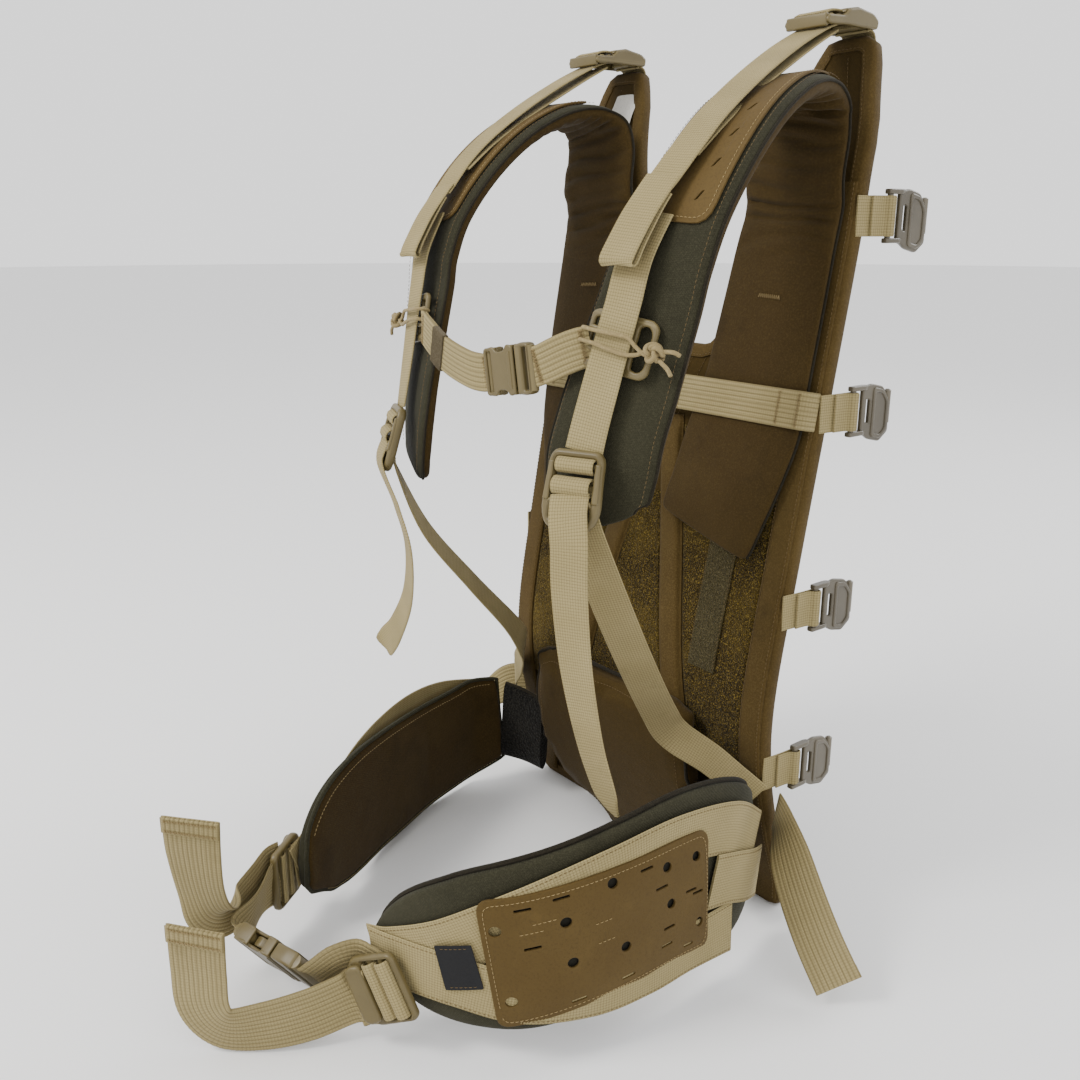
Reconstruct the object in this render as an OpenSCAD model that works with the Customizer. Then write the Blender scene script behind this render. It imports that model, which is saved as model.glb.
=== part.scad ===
// Load-carrying pack frame for hunting, with a shoulder harness and a hip belt.
// +Z is up, -Y faces the wearer's back, +X is the wearer's left.
// The origin is the middle of the frame's foot, on the surface that it stands on.

/* [Frame] */
// Width of the frame
frame_w = 280; // [270:1:290]
// Height of the frame, foot to horn tips
frame_h = 605; // [598:1:612]
// Height of the bottom of the notch between the horns
notch_z = 405; // [398:1:412]
// Half the width of the notch at its bottom
notch_half = 42; // [38:1:46]
// Thickness of the stiff frame sheet
sheet_t = 4; // [3.5:0.1:4.2]
// Thickness of each fabric cover
cover_t = 2; // [1.6:0.1:2.2]

/* [Harness] */
// Thickness of a shoulder pad
pad_t = 14; // [12:0.5:15]
// Width of the shoulder webbing
webbing_w = 25.4; // [24:0.2:26]
// Thickness of all webbing
webbing_t = 1.6; // [1.2:0.1:1.8]
// Height of the sternum strap above the foot
sternum_z = 424; // [420:1:428]

/* [Belt] */
// Width of the belt webbing
belt_w = 38; // [36:0.5:40]
// Thickness of a hip wing
wing_t = 14; // [12:0.5:15]

/* [Buckles] */
// Height of a side buckle's plate
side_plate_h = 41; // [38:1:43]
// Thickness of a side buckle's plate
side_plate_t = 3.2; // [2.6:0.1:3.6]
// Radius of the bars that webbing wraps around
bar_r = 2; // [1.8:0.1:2.2]

/* [Hidden] */
$fn = 48;

gap = 0.3;                        // clearance between neighbouring pieces
loop_r = bar_r + gap + 0.1;       // inner radius of a webbing loop around a bar
reach = 200;                      // long enough to cut through the whole frame

// Colours
brown = "#4a371c";
tan = "#78603a";
olive = "#4c493d";
khaki = "#b7a888";
moulded = "#85734c";
taupe = "#82786a";

// Depths from the middle of the frame sheet, positive towards the wearer
d_sheet = sheet_t / 2;
d_front = d_sheet + 0.1 + cover_t;
d_back = -d_sheet - 0.1 - cover_t;
d_field = d_front + 1.6;
d_sleeve = d_front + 5;
d_yoke = d_sleeve + 0.4;
d_yoke_top = d_yoke + 8;

// Side view of the frame, as [y, z]: a lumbar curve below and a lean back above
spine_points = [
  [0, -14], [0, 22], [-13, 62], [-26, 118], [-27, 176], [-10, 274],
  [12, 393], [28, 481], [38, 545], [57, 606], [61, 616]
];

// Smooth curves through points. Each point is a list of any length.
function mix4(a, b, c, d, t) =
  0.5 * (2 * b + (c - a) * t + (2 * a - 5 * b + 4 * c - d) * t * t
  + (3 * b - a - 3 * c + d) * t * t * t);
function curve(p, n) = [
  for (i = [0 : len(p) - 2]) for (k = [0 : n - 1])
    mix4(p[max(i - 1, 0)], p[i], p[i + 1], p[min(i + 2, len(p) - 1)], k / n),
  p[len(p) - 1]
];
spine = curve(spine_points, 4);

// Points of the side view moved by d along the surface's own direction
function unit(v) = v / norm(v);
function side_offset(d) = [
  for (i = [0 : len(spine) - 1])
    let (t = unit(spine[min(i + 1, len(spine) - 1)] - spine[max(i - 1, 0)]))
    spine[i] + d * [-t[1], t[0]]
];
function reversed(p) = [for (i = [len(p) - 1 : -1 : 0]) p[i]];

// A layer of the frame between depths d0 and d1, cut to a front-view outline
module layer(d0, d1) {
  intersection() {
    rotate([90, 0, 90])
      linear_extrude(2 * reach, center = true)
        polygon(concat(side_offset(d1), reversed(side_offset(d0))));
    rotate([90, 0, 0])
      linear_extrude(2 * reach, center = true)
        children();
  }
}
module both_sides() {
  children();
  mirror([1, 0, 0]) children();
}

// Front view of the frame: horns at the top with a U-shaped notch between them
module frame_outline(inset, foot) {
  half = frame_w / 2 - inset;
  difference() {
    polygon([
      [-half + 8, foot], [half - 8, foot], [half, 8], [half, 545], [half - 11, 590],
      [half - 16, frame_h - 4], [half - 22, frame_h], [-half + 22, frame_h],
      [-half + 16, frame_h - 4], [-half + 11, 590], [-half, 545], [-half, 8]
    ]);
    notch_outline(inset);
  }
}
module notch_outline(grow = 0) {
  corner = 14;
  bottom = notch_z - grow;
  side = notch_half + grow;
  polygon(concat(
    [for (a = [180 : 15 : 270]) [-side + corner, bottom + corner] + corner * [cos(a), sin(a)]],
    [for (a = [270 : 15 : 360]) [side - corner, bottom + corner] + corner * [cos(a), sin(a)]],
    [[side + 18, 500], [side + 38, 580], [side + 44, 596], [side + 52, frame_h + 5],
     [-side - 52, frame_h + 5], [-side - 44, 596], [-side - 38, 580], [-side - 18, 500]]
  ));
}

// A closed solid through rings of points that all have the same count
module skin(rings) {
  n = len(rings);
  m = len(rings[0]);
  faces = concat(
    [[for (j = [m - 1 : -1 : 0]) j]],
    [[for (j = [0 : m - 1]) (n - 1) * m + j]],
    [for (i = [0 : n - 2]) for (j = [0 : m - 1])
      let (a = i * m + j, b = i * m + (j + 1) % m) each [[a, b, b + m], [a, b + m, a + m]]]
  );
  polyhedron([for (r = rings) each r], faces, convexity = 10);
}

// A station is [x, y, z, wx, wy, wz, width, thickness, du, dv]: a point, the direction
// across the strap, the strap's size there, and where its inner face's middle sits.
function place(s) = [s[0], s[1], s[2]];
function across(s) = [s[3], s[4], s[5]];
function ring(stations, i, section) =
  let (
    s = stations[i],
    before = place(stations[max(i - 1, 0)]),
    after = place(stations[min(i + 1, len(stations) - 1)]),
    t = unit(after - before),
    w = unit(across(s) - t * (t * across(s))),
    n = cross(w, t)
  )
  [for (q = section) place(s) + w * (s[8] + q[0] * s[6]) + n * (s[9] + q[1] * s[7])];
module strap(stations, section = flat_section) {
  skin([for (i = [0 : len(stations) - 1]) ring(stations, i, section)]);
}
// Sections in fractions of width and thickness; the inner face is at 0
flat_section = [[-0.5, 0], [0.5, 0], [0.5, 1], [-0.5, 1]];
function soft_corner(a) = [sign(cos(a)) * pow(abs(cos(a)), 0.5), sign(sin(a)) * pow(abs(sin(a)), 0.5)];
pad_section = [for (a = [22.5 : 22.5 : 360]) 0.5 * soft_corner(a) + [0, 0.5]];

// ---- Frame ----
cover_foot = 1;                   // the covers stop this far above the sheet's foot
module frame_sheet() {
  color("#2c2b28")
    layer(-d_sheet, d_sheet) frame_outline(3, 0);
}
module front_cover() {
  color(brown)
    layer(d_sheet + 0.1, d_front) frame_outline(0, cover_foot);
}
module back_cover() {
  color(olive)
    layer(d_back, -d_sheet - 0.1) frame_outline(0, cover_foot);
}
// Bound rails along both outer edges
rail_w = 18;
rail_top = 500;
module edge_rails() {
  color(tan)
    both_sides() {
      layer(d_front + 0.1, d_front + 3)
        translate([frame_w / 2 - rail_w, 4]) square([rail_w, rail_top]);
      layer(d_back, d_front + 3)
        translate([frame_w / 2 + 0.1, 10]) square([2, 530]);
    }
}
// Stays run from beside the notch down and outwards, each in its own sleeve
stay_top = [10, 352];
stay_foot = [62, 112];
module slanted(w, shorten = 0) {
  run = stay_foot - stay_top;
  a = stay_top + unit(run) * shorten;
  b = stay_foot - unit(run) * shorten;
  polygon([a - [w / 2, 0], a + [w / 2, 0], b + [w / 2, 0], b - [w / 2, 0]]);
}
sleeve_w = 22;
stay_w = 15;
module stays() {
  color("silver")
    both_sides() layer(d_front + 1.1, d_sleeve - 1.1) slanted(stay_w, 8);
}
module stay_sleeves() {
  color(tan)
    both_sides()
      difference() {
        layer(d_front + 0.1, d_sleeve) slanted(sleeve_w);
        layer(d_front + 0.9, d_sleeve - 0.9) slanted(stay_w + 0.6, 6);
      }
}
// Loop fastener that the lumbar pad and the yoke panels grip
module loop_field() {
  color("#5e4a22")
    layer(d_front + 0.1, d_field)
      difference() {
        translate([-frame_w / 2 + rail_w + 1, 112]) square([frame_w - 2 * rail_w - 2, 236]);
        both_sides() slanted(sleeve_w + 1.2, -20);
      }
}
strip_lean = -3;
module hook_strips() {
  color(olive)
    both_sides()
      layer(d_field + 0.1, d_field + 1.2)
        polygon([[69, 282], [95, 282], [95 + strip_lean, 182], [70 + strip_lean, 182]]);
}
// Webbing across the frame that holds both yoke panels down
torso_z = 371;
module torso_webbing() {
  half = frame_w / 2;
  color(khaki) {
    layer(d_yoke_top + 0.4, d_yoke_top + 0.4 + webbing_t)
      translate([-half + 2, torso_z - webbing_w / 2]) square([2 * half - 4, webbing_w]);
    both_sides()
      layer(d_front + 3.2, d_yoke_top + 0.4)
        translate([half - 2 - webbing_t, torso_z - webbing_w / 2]) square([webbing_t, webbing_w]);
  }
}
module care_label() {
  color("white")
    layer(d_front + 0.1, d_front + 0.9)
      translate([-112, 556]) square([24, 36]);
}

// ---- Side compression buckles: height, side-view place and turn of each ----
buckle_z = [496, torso_z, 238, 120];
function spine_y(z) = lookup(z, [for (p = spine) [p[1], p[0]]]);
stub_x = frame_w / 2 + 6.6;
stub_l = 22;
function bar_at(k) = [stub_x, spine_y(buckle_z[k]) + stub_l, buckle_z[k]];
module side_webbing() {
  color(khaki)
    for (k = [0 : 3]) {
      b = bar_at(k);
      translate([b[0] - loop_r - webbing_t, b[1] - stub_l - 6, b[2] - webbing_w / 2])
        cube([webbing_t, stub_l + 6, webbing_w]);
      translate([b[0], b[1], b[2] - webbing_w / 2])
        difference() {
          cylinder(r = loop_r + webbing_t, h = webbing_w);
          translate([0, 0, -1]) cylinder(r = loop_r, h = webbing_w + 2);
        }
    }
}
// One buckle: a bar between two ears, and a six-sided catch plate behind it
ear_l = 13;
plate_l = 27;
module side_buckle(k) {
  b = bar_at(k);
  half = side_plate_h / 2;
  inner = webbing_w / 2 + 1;
  color(taupe)
    translate(b) {
      translate([0, 0, -inner - 1]) cylinder(r = bar_r, h = 2 * inner + 2);
      for (s = [-1, 1])
        translate([-2.6, -3.4, s * (inner + 1.6) - 1.6]) cube([5.2, ear_l + 3.4, 3.2]);
      translate([-side_plate_t / 2, ear_l - 4, -inner - 3]) cube([side_plate_t, 6, 2 * inner + 6]);
      translate([side_plate_t / 2, 0, 0])
        rotate([0, -90, 0])
          linear_extrude(side_plate_t)
            polygon([
              [-half + 6, ear_l - 1], [half - 6, ear_l - 1], [half, ear_l + 7],
              [half, ear_l + plate_l - 9], [half - 7, ear_l + plate_l],
              [-half + 7, ear_l + plate_l], [-half, ear_l + plate_l - 9], [-half, ear_l + 7]
            ]);
      translate([0, ear_l + plate_l - 3, -half + 8])
        cylinder(r = 2.4, h = side_plate_h - 16);
    }
}

// ---- Shoulder harness, drawn for the wearer's left and mirrored for the right ----
// Stations of the pad, from its tip up over the shoulder and down to the frame.
// The place is the middle of the outer face.
function turned(p, phi, w, t) = [p[0], p[1], p[2], cos(phi), sin(phi), 0, w, t, 0, -t];
pad_points = [
  turned([110, -157, 315], 22, 40, 9),
  turned([107, -160, 327], 22, 64, 12),
  turned([106, -159.5, 350], 22, 74, pad_t),
  turned([108, -155, 375], 20, 74, pad_t),
  turned([111.4, -148.7, 400], 18, 74, pad_t),
  turned([114.7, -142.6, 424], 15, 73, pad_t),
  turned([118, -136.7, 447], 12, 72, pad_t),
  turned([121, -131, 470], 10, 70, pad_t),
  turned([122.5, -118, 500], 7, 70, pad_t),
  turned([121, -92, 533], 4, 70, pad_t),
  turned([117, -62, 559], 2, 70, pad_t),
  turned([112, -30, 575], 0, 70, pad_t),
  turned([106, -2, 577], 0, 70, pad_t - 1),
  turned([101, 18, 566], 0, 72, pad_t - 3),
  turned([99, 22.5, 546], 0, 75, pad_t - 5),
  turned([98, 18, 520], 0, 79, pad_t - 6),
  turned([97, 13.5, 500], 0, 82, pad_t - 6)
];
pad_path = curve(pad_points, 3);
module shoulder_pad() {
  color(olive) strap(pad_path, pad_section);
}
// The flat tail of the strap, which runs down the frame under the torso webbing
module yoke_panel() {
  color(brown)
    layer(d_yoke, d_yoke_top)
      polygon([
        [56, 494], [135.4, 494], [135.4, 352], [113, 272], [108, 268], [26, 275],
        [22, 280], [46, 400], [50, 440]
      ]);
}

// Patch sewn on the neck end of the pad, with slots; place follows the pad's stations
function shifted(s, w, t, du, dv) = [s[0], s[1], s[2], s[3], s[4], s[5], w, t, du, dv];
patch_first = 24;
patch_last = 35;
module strap_patch() {
  color(tan)
    strap([for (i = [patch_first : patch_last])
      shifted(pad_path[i], i == patch_first ? 42 : 52, 1.4, -5, 0.4)]);
}

// Shoulder webbing: sewn under the patch, down the pad, round the ladder lock's bar
lock_bar = [103.5, -172.2, 354];
lock_turn = 22;
shoulder_points = [
  [116.2, -126, 498], [114, -140, 473], [112.2, -147.2, 447], [109.8, -153.2, 424],
  [107.4, -159.2, 400], [105.4, -164.8, 378], [104.4, -168.6, 362.1]
];
function webbing_at(p, phi, w = webbing_w) =
  [p[0], p[1], p[2], cos(phi), sin(phi), 0, w, webbing_t, 0, 0];
module bar_loop(length, turn) {
  rotate([0, 90, turn])
    translate([0, 0, -length / 2])
      difference() {
        cylinder(r = loop_r + webbing_t, h = length);
        translate([0, 0, -1]) cylinder(r = loop_r, h = length + 2);
      }
}
module shoulder_webbing() {
  color(khaki) {
    strap(curve([for (i = [0 : 6]) webbing_at(shoulder_points[i], 8 + 2.3 * i)], 3));
    translate(lock_bar) bar_loop(webbing_w, lock_turn);
  }
}

// Load lifter: from the strap up to the buckle on the horn, with a folded pull loop
lifter_bar = [107, 51, 612];
lifter_points = [
  [113.6, -117.6, 514], [115.3, -100.5, 534], [114, -80, 551.5], [111.5, -48, 573],
  [109, -15, 592], [108, 6, 602]
];
pull_points = [
  [111.6, -148.5, 474], [112, -144, 484], [113.2, -134, 500], [113.4, -122.2, 512]
];
module lifter_webbing() {
  color(khaki) {
    strap(curve([for (p = lifter_points) webbing_at(p, 4)], 3));
    strap([for (p = pull_points)
      [p[0], p[1], p[2], cos(8), sin(8), 0, webbing_w, 2.4, 0, 0.8]]);
  }
}
// Webbing anchor sewn over each horn tip, holding the lifter buckle's rear bar
module lifter_anchor() {
  color(brown) {
    translate(lifter_bar) bar_loop(webbing_w, 0);
    translate([lifter_bar[0] - webbing_w / 2, lifter_bar[1] + 1, lifter_bar[2] - 6.1])
      cube([webbing_w, 10, webbing_t]);
  }
}
// Lifter buckle: two cheeks, three bars and a smooth curved cover
lifter_l = 44;
cheek_t = 3.6;
module lifter_buckle() {
  inner = webbing_w / 2 + 1;
  color(moulded)
    translate(lifter_bar) {
      rotate([0, 90, 0])
        translate([0, 0, -inner - 1]) cylinder(r = bar_r, h = 2 * inner + 2);
      for (s = [-1, 1])
        translate([s * (inner + cheek_t / 2) - cheek_t / 2, 0, 0])
          rotate([90, 0, 90])
            linear_extrude(cheek_t)
              polygon([
                [5, -2], [5, 2], [0, 6], [-14, 8], [-24, 6], [-lifter_l, 2.5],
                [-lifter_l, -4.5], [-24, -3], [-8, -3]
              ]);
      // Curved cover over the rear half
      rotate([90, 0, 90])
        linear_extrude(2 * inner + 2, center = true)
          polygon([[0, 6], [-14, 8], [-24, 6], [-24, 4], [-14, 6], [0, 4.4]]);
      // Ladder bars and the front lip
      for (y = [-29, -36])
        translate([-inner - 1, y, 0]) rotate([0, 90, 0]) cylinder(r = 1.6, h = 2 * inner + 2);
      translate([-inner - 1, -lifter_l, -3.5]) cube([2 * inner + 2, 3, 5]);
    }
}

// Ladder lock: hangs from its top bar; the lower webbing is threaded through it
lock_lean = 17;
lock_l = 40;
lock_side = 3.4;
module ladder_lock() {
  inner = webbing_w / 2 + 0.8;
  wide = 2 * inner + 2 * lock_side;
  color(moulded)
    translate(lock_bar)
      rotate([0, 0, lock_turn])
        rotate([-lock_lean, 0, 0]) {
          rotate([0, 90, 0])
            translate([0, 0, -inner - 1]) cylinder(r = bar_r, h = 2 * inner + 2);
          for (s = [-1, 1])
            translate([s * (inner + lock_side / 2) - lock_side / 2, -3, -lock_l + 6])
              cube([lock_side, 6, lock_l]);
          // Middle bar, and the grip plate with two windows and a round hole
          rotate([0, 90, 0])
            translate([13, 0, -inner - 1]) cylinder(r = 2.4, h = 2 * inner + 2);
          translate([0, -1, 0])
            rotate([90, 0, 0])
              linear_extrude(3, center = true)
                difference() {
                  translate([-wide / 2 + 1, -lock_l + 4]) square([wide - 2, 14]);
                  polygon([[-11, -33], [-4, -33], [-8, -26]]);
                  polygon([[11, -33], [4, -33], [8, -26]]);
                  translate([0, -29]) circle(r = 2);
                }
          // The webbing's turns over the bars
          color(khaki)
            for (z = [-13])
              rotate([0, 90, 0]) translate([-z, 0, -webbing_w / 2])
                difference() {
                  cylinder(r = 4.6, h = webbing_w);
                  translate([0, 0, -1]) cylinder(r = 2.5, h = webbing_w + 2);
                  translate([-9, -9, -1]) cube([6, 18, webbing_w + 2]);
                }
        }
}

// Lower webbing, from the ladder lock to the frame's edge, and its hanging tail; the two
// sides are sewn alike but hang differently
lower_points_left = [
  [109, -171, 312, 0.80, 0.60, 0], [106, -150, 270, 0.72, 0.70, 0],
  [98, -116, 212, 0.68, 0.72, 0.1], [88, -82, 162, 0.62, 0.70, 0.3],
  [89, -67, 141, 0.35, 0.45, 0.8], [112, -54, 127, 0.1, 0.1, 1],
  [130, -45, 114, 0, 0, 1], [139, -39.5, 106, 0, 0, 1]
];
tail_points_left = [
  [119, -190, 314, 0.93, 0.36, 0], [118, -190, 280, 0.93, 0.33, 0],
  [122, -188, 235, 0.96, 0.2, 0], [130, -184, 190, 1, 0.05, 0],
  [143, -179, 148, 1, -0.05, 0]
];
lower_points_right = [
  [-109, -171, 312, 0.80, -0.60, 0], [-104, -150, 265, 0.72, -0.70, 0],
  [-99, -112, 216, 0.68, -0.72, -0.1], [-94, -79, 176, 0.62, -0.70, -0.3],
  [-97, -62, 152, 0.35, -0.45, -0.8], [-114, -52, 132, 0.1, -0.1, -1],
  [-130, -45, 115, 0, 0, -1], [-139, -39.5, 106, 0, 0, -1]
];
tail_points_right = [
  [-104, -188, 314, 0.93, -0.36, 0], [-86, -186, 292, 0.93, -0.36, 0],
  [-75, -184, 262, 0.93, -0.36, 0], [-80, -183, 225, 0.96, -0.3, 0],
  [-101, -182, 192, 1, -0.2, 0], [-124, -181, 171, 1, -0.1, 0]
];
function ribbon(p, w) = [p[0], p[1], p[2], p[3], p[4], p[5], w, webbing_t, 0, 0];
module lower_webbing(route, tail) {
  color(khaki)
    for (points = [route, tail])
      strap(curve([for (p = points) ribbon(p, webbing_w)], 4));
}

// ---- Sternum strap ----
keeper_at = [110.7, -147, sternum_z];
keeper_turn = [-12.5, 9, 15];
keeper_w = 46;
keeper_h = 34;
module keeper() {
  color(moulded)
    translate(keeper_at)
      rotate(keeper_turn)
        rotate([90, 0, 0])
          linear_extrude(2.4, center = true)
            difference() {
              square([keeper_w, keeper_h], center = true);
              for (s = [-1, 1])
                translate([s * (keeper_w / 2 - 8.5), 0]) square([8, keeper_h - 9], center = true);
            }
}
// Shock cord that holds each keeper to the shoulder webbing, and its stopper knot
cord_r = 1.4;
module shock_cord() {
  color(khaki)
    translate(keeper_at)
      rotate(keeper_turn) {
        for (s = [-1, 1])
          translate([-keeper_w / 2 + 2, -9.4, s * 3.4])
            rotate([0, 90, 0]) cylinder(r = cord_r, h = keeper_w - 6, $fn = 16);
        for (s = [-1, 1])
          translate([-keeper_w / 2 + 4.5, -10, s * 3.4])
            rotate([-90, 0, 0]) cylinder(r = cord_r, h = 8, $fn = 16);
        translate([keeper_w / 2 + 3, -8, 0]) sphere(r = 6.2, $fn = 20);
      }
}
sternum_points_left = [[84, -160, 419], [76, -165, 415], [69, -168.4, 411]];
sternum_points_right = [
  [14, -172, 400], [-10, -172, 400], [-40, -169, 406], [-66, -163.5, 415], [-84, -158, 420]
];
module sternum_webbing_left() {
  color(khaki)
    strap(curve([for (p = sternum_points_left)
      [p[0], p[1], p[2], 0, 0, 1, webbing_w - 1, webbing_t, 0, 0]], 3));
}
module sternum_webbing_right() {
  color(khaki)
    strap(curve([for (p = sternum_points_right)
      [p[0], p[1], p[2], 0, 0, 1, webbing_w - 1, webbing_t, 0, 0]], 3));
}

// Side-release buckle along +X from its socket; w is the webbing's width
module buckle_socket(w, l, h) {
  wide = w + 7;
  color(moulded)
    difference() {
      translate([-l, -h / 2, -wide / 2]) cube([l, h, wide]);
      translate([-l + 9, -h / 2 + 1.8, -wide / 2 + 2]) cube([l, h - 3.6, wide - 4]);
      translate([-l + 2.5, -h, -w / 2 - 0.5]) cube([4, 2 * h, w + 1]);
      for (s = [-1, 1])
        translate([-l * 0.55, -h, s * wide / 2 - 3]) cube([l * 0.3, 2 * h, 6]);
    }
}
module buckle_prong(w, l, h) {
  wide = w + 7;
  depth = l * 0.55;
  color(moulded) {
    difference() {
      translate([0.6, -h / 2, -wide / 2]) cube([l * 0.5, h, wide]);
      translate([l * 0.5 - 5.4, -h, -w / 2 - 0.5]) cube([4, 2 * h, w + 1]);
    }
    for (z = [-wide / 2 + 4.2, -1.5, wide / 2 - 7.2])
      translate([-depth + 2, -h / 2 + 3, z]) cube([depth, h - 6, 3]);
  }
}
sternum_buckle_at = [46, -172, 405];
module sternum_buckle_female() {
  translate(sternum_buckle_at) rotate([0, -9, 4]) buckle_socket(webbing_w, 28, 9);
}
module sternum_buckle_male() {
  translate(sternum_buckle_at) rotate([0, -9, 4]) buckle_prong(webbing_w, 28, 9);
}

// ---- Hip belt ----
// Lumbar pad, a shield shape that grips the loop field
module lumbar_pad() {
  color(brown)
    layer(d_sleeve + 0.4, d_sleeve + 18)
      polygon([
        [-88, 150], [-70, 156], [70, 156], [88, 150], [96, 60], [78, 22],
        [16, 1], [-16, 1], [-78, 22], [-96, 60]
      ]);
}
// Mesh roots that join the wings to the lumbar pad
module belt_root() {
  color("#1d1c1a")
    strap([
      [97.5, -45, 60, 0, 0, 1, 62, 9, 0, 0],
      [112, -46.5, 61, 0, 0, 1, 64, 9, 0, 0],
      [124, -49.5, 62, 0, 0, 1, 66, 9, 0, 0],
      [133.5, -53, 63, 0, 0, 1, 68, 8.5, 0, 0]
    ], pad_section);
}
// Each wing swings about an upright axis on the outer corner of its root end: the left
// one at x 152, y -46, and the right one at x -150, y -47
// Hip wings: [x, y] of the inner face in plan, with the lower and upper edges
wing_left_points = [
  [139, -53, 28, 98], [150, -76, 22, 122], [156, -100, 20, 144], [159, -140, 22, 154],
  [158, -180, 24, 151], [151, -215, 24, 144], [137, -243, 21, 135], [115, -264, 20, 121],
  [90, -279, 24, 103], [68, -287, 36, 80], [60, -289, 46, 68]
];
wing_right_points = [
  [-138.5, -54, 24, 102], [-141, -80, 16, 106], [-135, -105, 14, 105], [-123, -140, 13, 106],
  [-108, -172, 12, 108], [-93, -202, 12, 109], [-77, -230, 12, 109], [-63, -254, 14, 104],
  [-52, -272, 18, 92], [-44, -286, 30, 72], [-41, -291, 40, 62]
];
function wing_station(p, t) =
  [p[0], p[1], (p[2] + p[3]) / 2, 0, 0, 1, p[3] - p[2], t, 0, 0];
wing_left_path = curve([for (p = wing_left_points) wing_station(p, wing_t)], 3);
wing_right_path = curve([for (p = reversed(wing_right_points)) wing_station(p, wing_t)], 3);
module hip_wing_left() {
  color(olive) strap(wing_left_path, pad_section);
}
module hip_wing_right() {
  color(olive) strap(wing_right_path, pad_section);
}
// Patch and webbing bands on the outer face; first and last are path indexes
function on_wing(path, first, last, w, t, dz, dv) =
  [for (i = [first : last]) shifted(path[i], w, t, dz, dv)];
band_t = 1.4;
module wing_bands_left() {
  color(khaki) strap(on_wing(wing_left_path, 4, 26, belt_w, band_t, 14, wing_t + 0.4));
}
module wing_bands_right() {
  color(khaki) strap(on_wing(wing_right_path, 4, 26, belt_w, band_t, 8, wing_t + 0.4));
}
patch_h = 92;
patch_lift = wing_t + 0.4 + band_t + 1;
module wing_patch_left() {
  color(tan) strap(on_wing(wing_left_path, 8, 20, patch_h, 2, 0, patch_lift));
}
module wing_patch_right() {
  color(tan) strap(on_wing(wing_right_path, 10, 22, patch_h - 12, 2, 0, patch_lift));
}
module belt_label() {
  color("black") strap(on_wing(wing_left_path, 21, 23, 28, 0.8, 14, patch_lift));
}

// Ladder-type adjusters at the wing tips: two slots between three bars
glide_w = belt_w + 9;
glide_l = 34;
module tri_glide() {
  color(moulded) {
    difference() {
      translate([-glide_l / 2, -2.2, -glide_w / 2]) cube([glide_l, 4.4, glide_w]);
      for (x = [-5.6, 5.6])
        translate([x - 3.4, -4, -belt_w / 2 - 0.6]) cube([6.8, 8, belt_w + 1.2]);
    }
    translate([-glide_l / 2, 0, -glide_w / 2 + 5]) cylinder(r = 3.6, h = glide_w - 10);
  }
}
glide_left_at = [86, -307, 44];
glide_right_at = [-63, -301, 46];
module tri_glide_left() {
  translate(glide_left_at) rotate([0, 0, 26]) rotate([0, -25, 0]) tri_glide();
}
module tri_glide_right() {
  translate(glide_right_at) rotate([0, 0, -52]) tri_glide();
}

// Belt webbing: [x, y, z, wx, wy, wz]; the inner runs go to the buckle, the outer are tails
near_tail = [
  [67, -321, 32, 0, 0, 1], [57, -344, 25, 0, 0, 1], [45, -367, 21, 0.1, 0, 1],
  [32, -387, 21, 0.45, 0.25, 0.85], [23, -396, 34, 0.8, 0.55, 0.3],
  [20, -396, 58, 0.85, 0.53, 0], [22, -396, 90, 0.85, 0.53, 0]
];
near_inner = [
  [70, -307, 48, 0, 0, 1], [62, -311, 50, 0, -0.1, 1], [56, -319, 49, 0.08, -0.3, 0.93],
  [49, -327.5, 42, 0.14, -0.5, 0.85], [44.6, -330.6, 38, 0.16, -0.55, 0.82],
  [41.3, -331.5, 37.2, 0.16, -0.55, 0.82]
];
far_inner = [
  [-52, -322, 44, 0.2, 0.1, 1], [-40, -335, 41, 0.3, 0, 0.95], [-30, -344.5, 38, 0.25, -0.35, 0.88],
  [-23, -348.6, 37, 0.16, -0.55, 0.82], [-18, -348.3, 37, 0.16, -0.55, 0.82]
];
far_tail = [
  [-62, -316, 52, 0, 0, 1], [-52, -331, 49, 0, 0, 1], [-40, -352, 48, 0.15, 0.1, 1],
  [-31, -367, 58, 0.65, 0.4, 0.7], [-28, -374, 80, 0.8, 0.5, 0.25], [-26, -377, 108, 0.76, 0.5, 0.35],
  [-22, -378, 136, 0.72, 0.5, 0.42]
];
module belt_webbing_left() {
  color(khaki) {
    strap(curve([for (p = near_tail) ribbon(p, belt_w)], 4));
    strap(curve([for (p = near_inner) ribbon(p, belt_w)], 3));
  }
}
module belt_webbing_right() {
  color(khaki) {
    strap(curve([for (p = far_tail) ribbon(p, belt_w)], 4));
    strap(curve([for (p = far_inner) ribbon(p, belt_w)], 3));
  }
}
belt_buckle_at = [19, -338, 37];
belt_buckle_turn = 15.9;
belt_buckle_roll = 35;            // its top edge leans away from the wearer
module belt_buckle_place() {
  translate(belt_buckle_at)
    rotate([0, 0, belt_buckle_turn])
      rotate([belt_buckle_roll, 0, 0])
        children();
}
module belt_buckle_female() {
  belt_buckle_place() buckle_socket(belt_w, 34, 12);
}
module belt_buckle_male() {
  belt_buckle_place() buckle_prong(belt_w, 40, 12);
}

// Stabilizer straps behind the wings' roots, with their hanging ends
stabilizer_w = 32;
stabilizer_points = [
  [146, -21, 90, 0, 0.1, 1], [158, -29, 87, 0.1, 0.22, 1], [173, -38, 76, 0.3, 0.42, 0.85],
  [192, -46, 57, 0.45, 0.56, 0.68], [214, -53, 36, 0.5, 0.64, 0.58], [236, -58, 17, 0.5, 0.66, 0.55]
];
module stabilizer_straps() {
  color(khaki)
    both_sides() strap(curve([for (p = stabilizer_points) ribbon(p, stabilizer_w)], 3));
}

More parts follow.
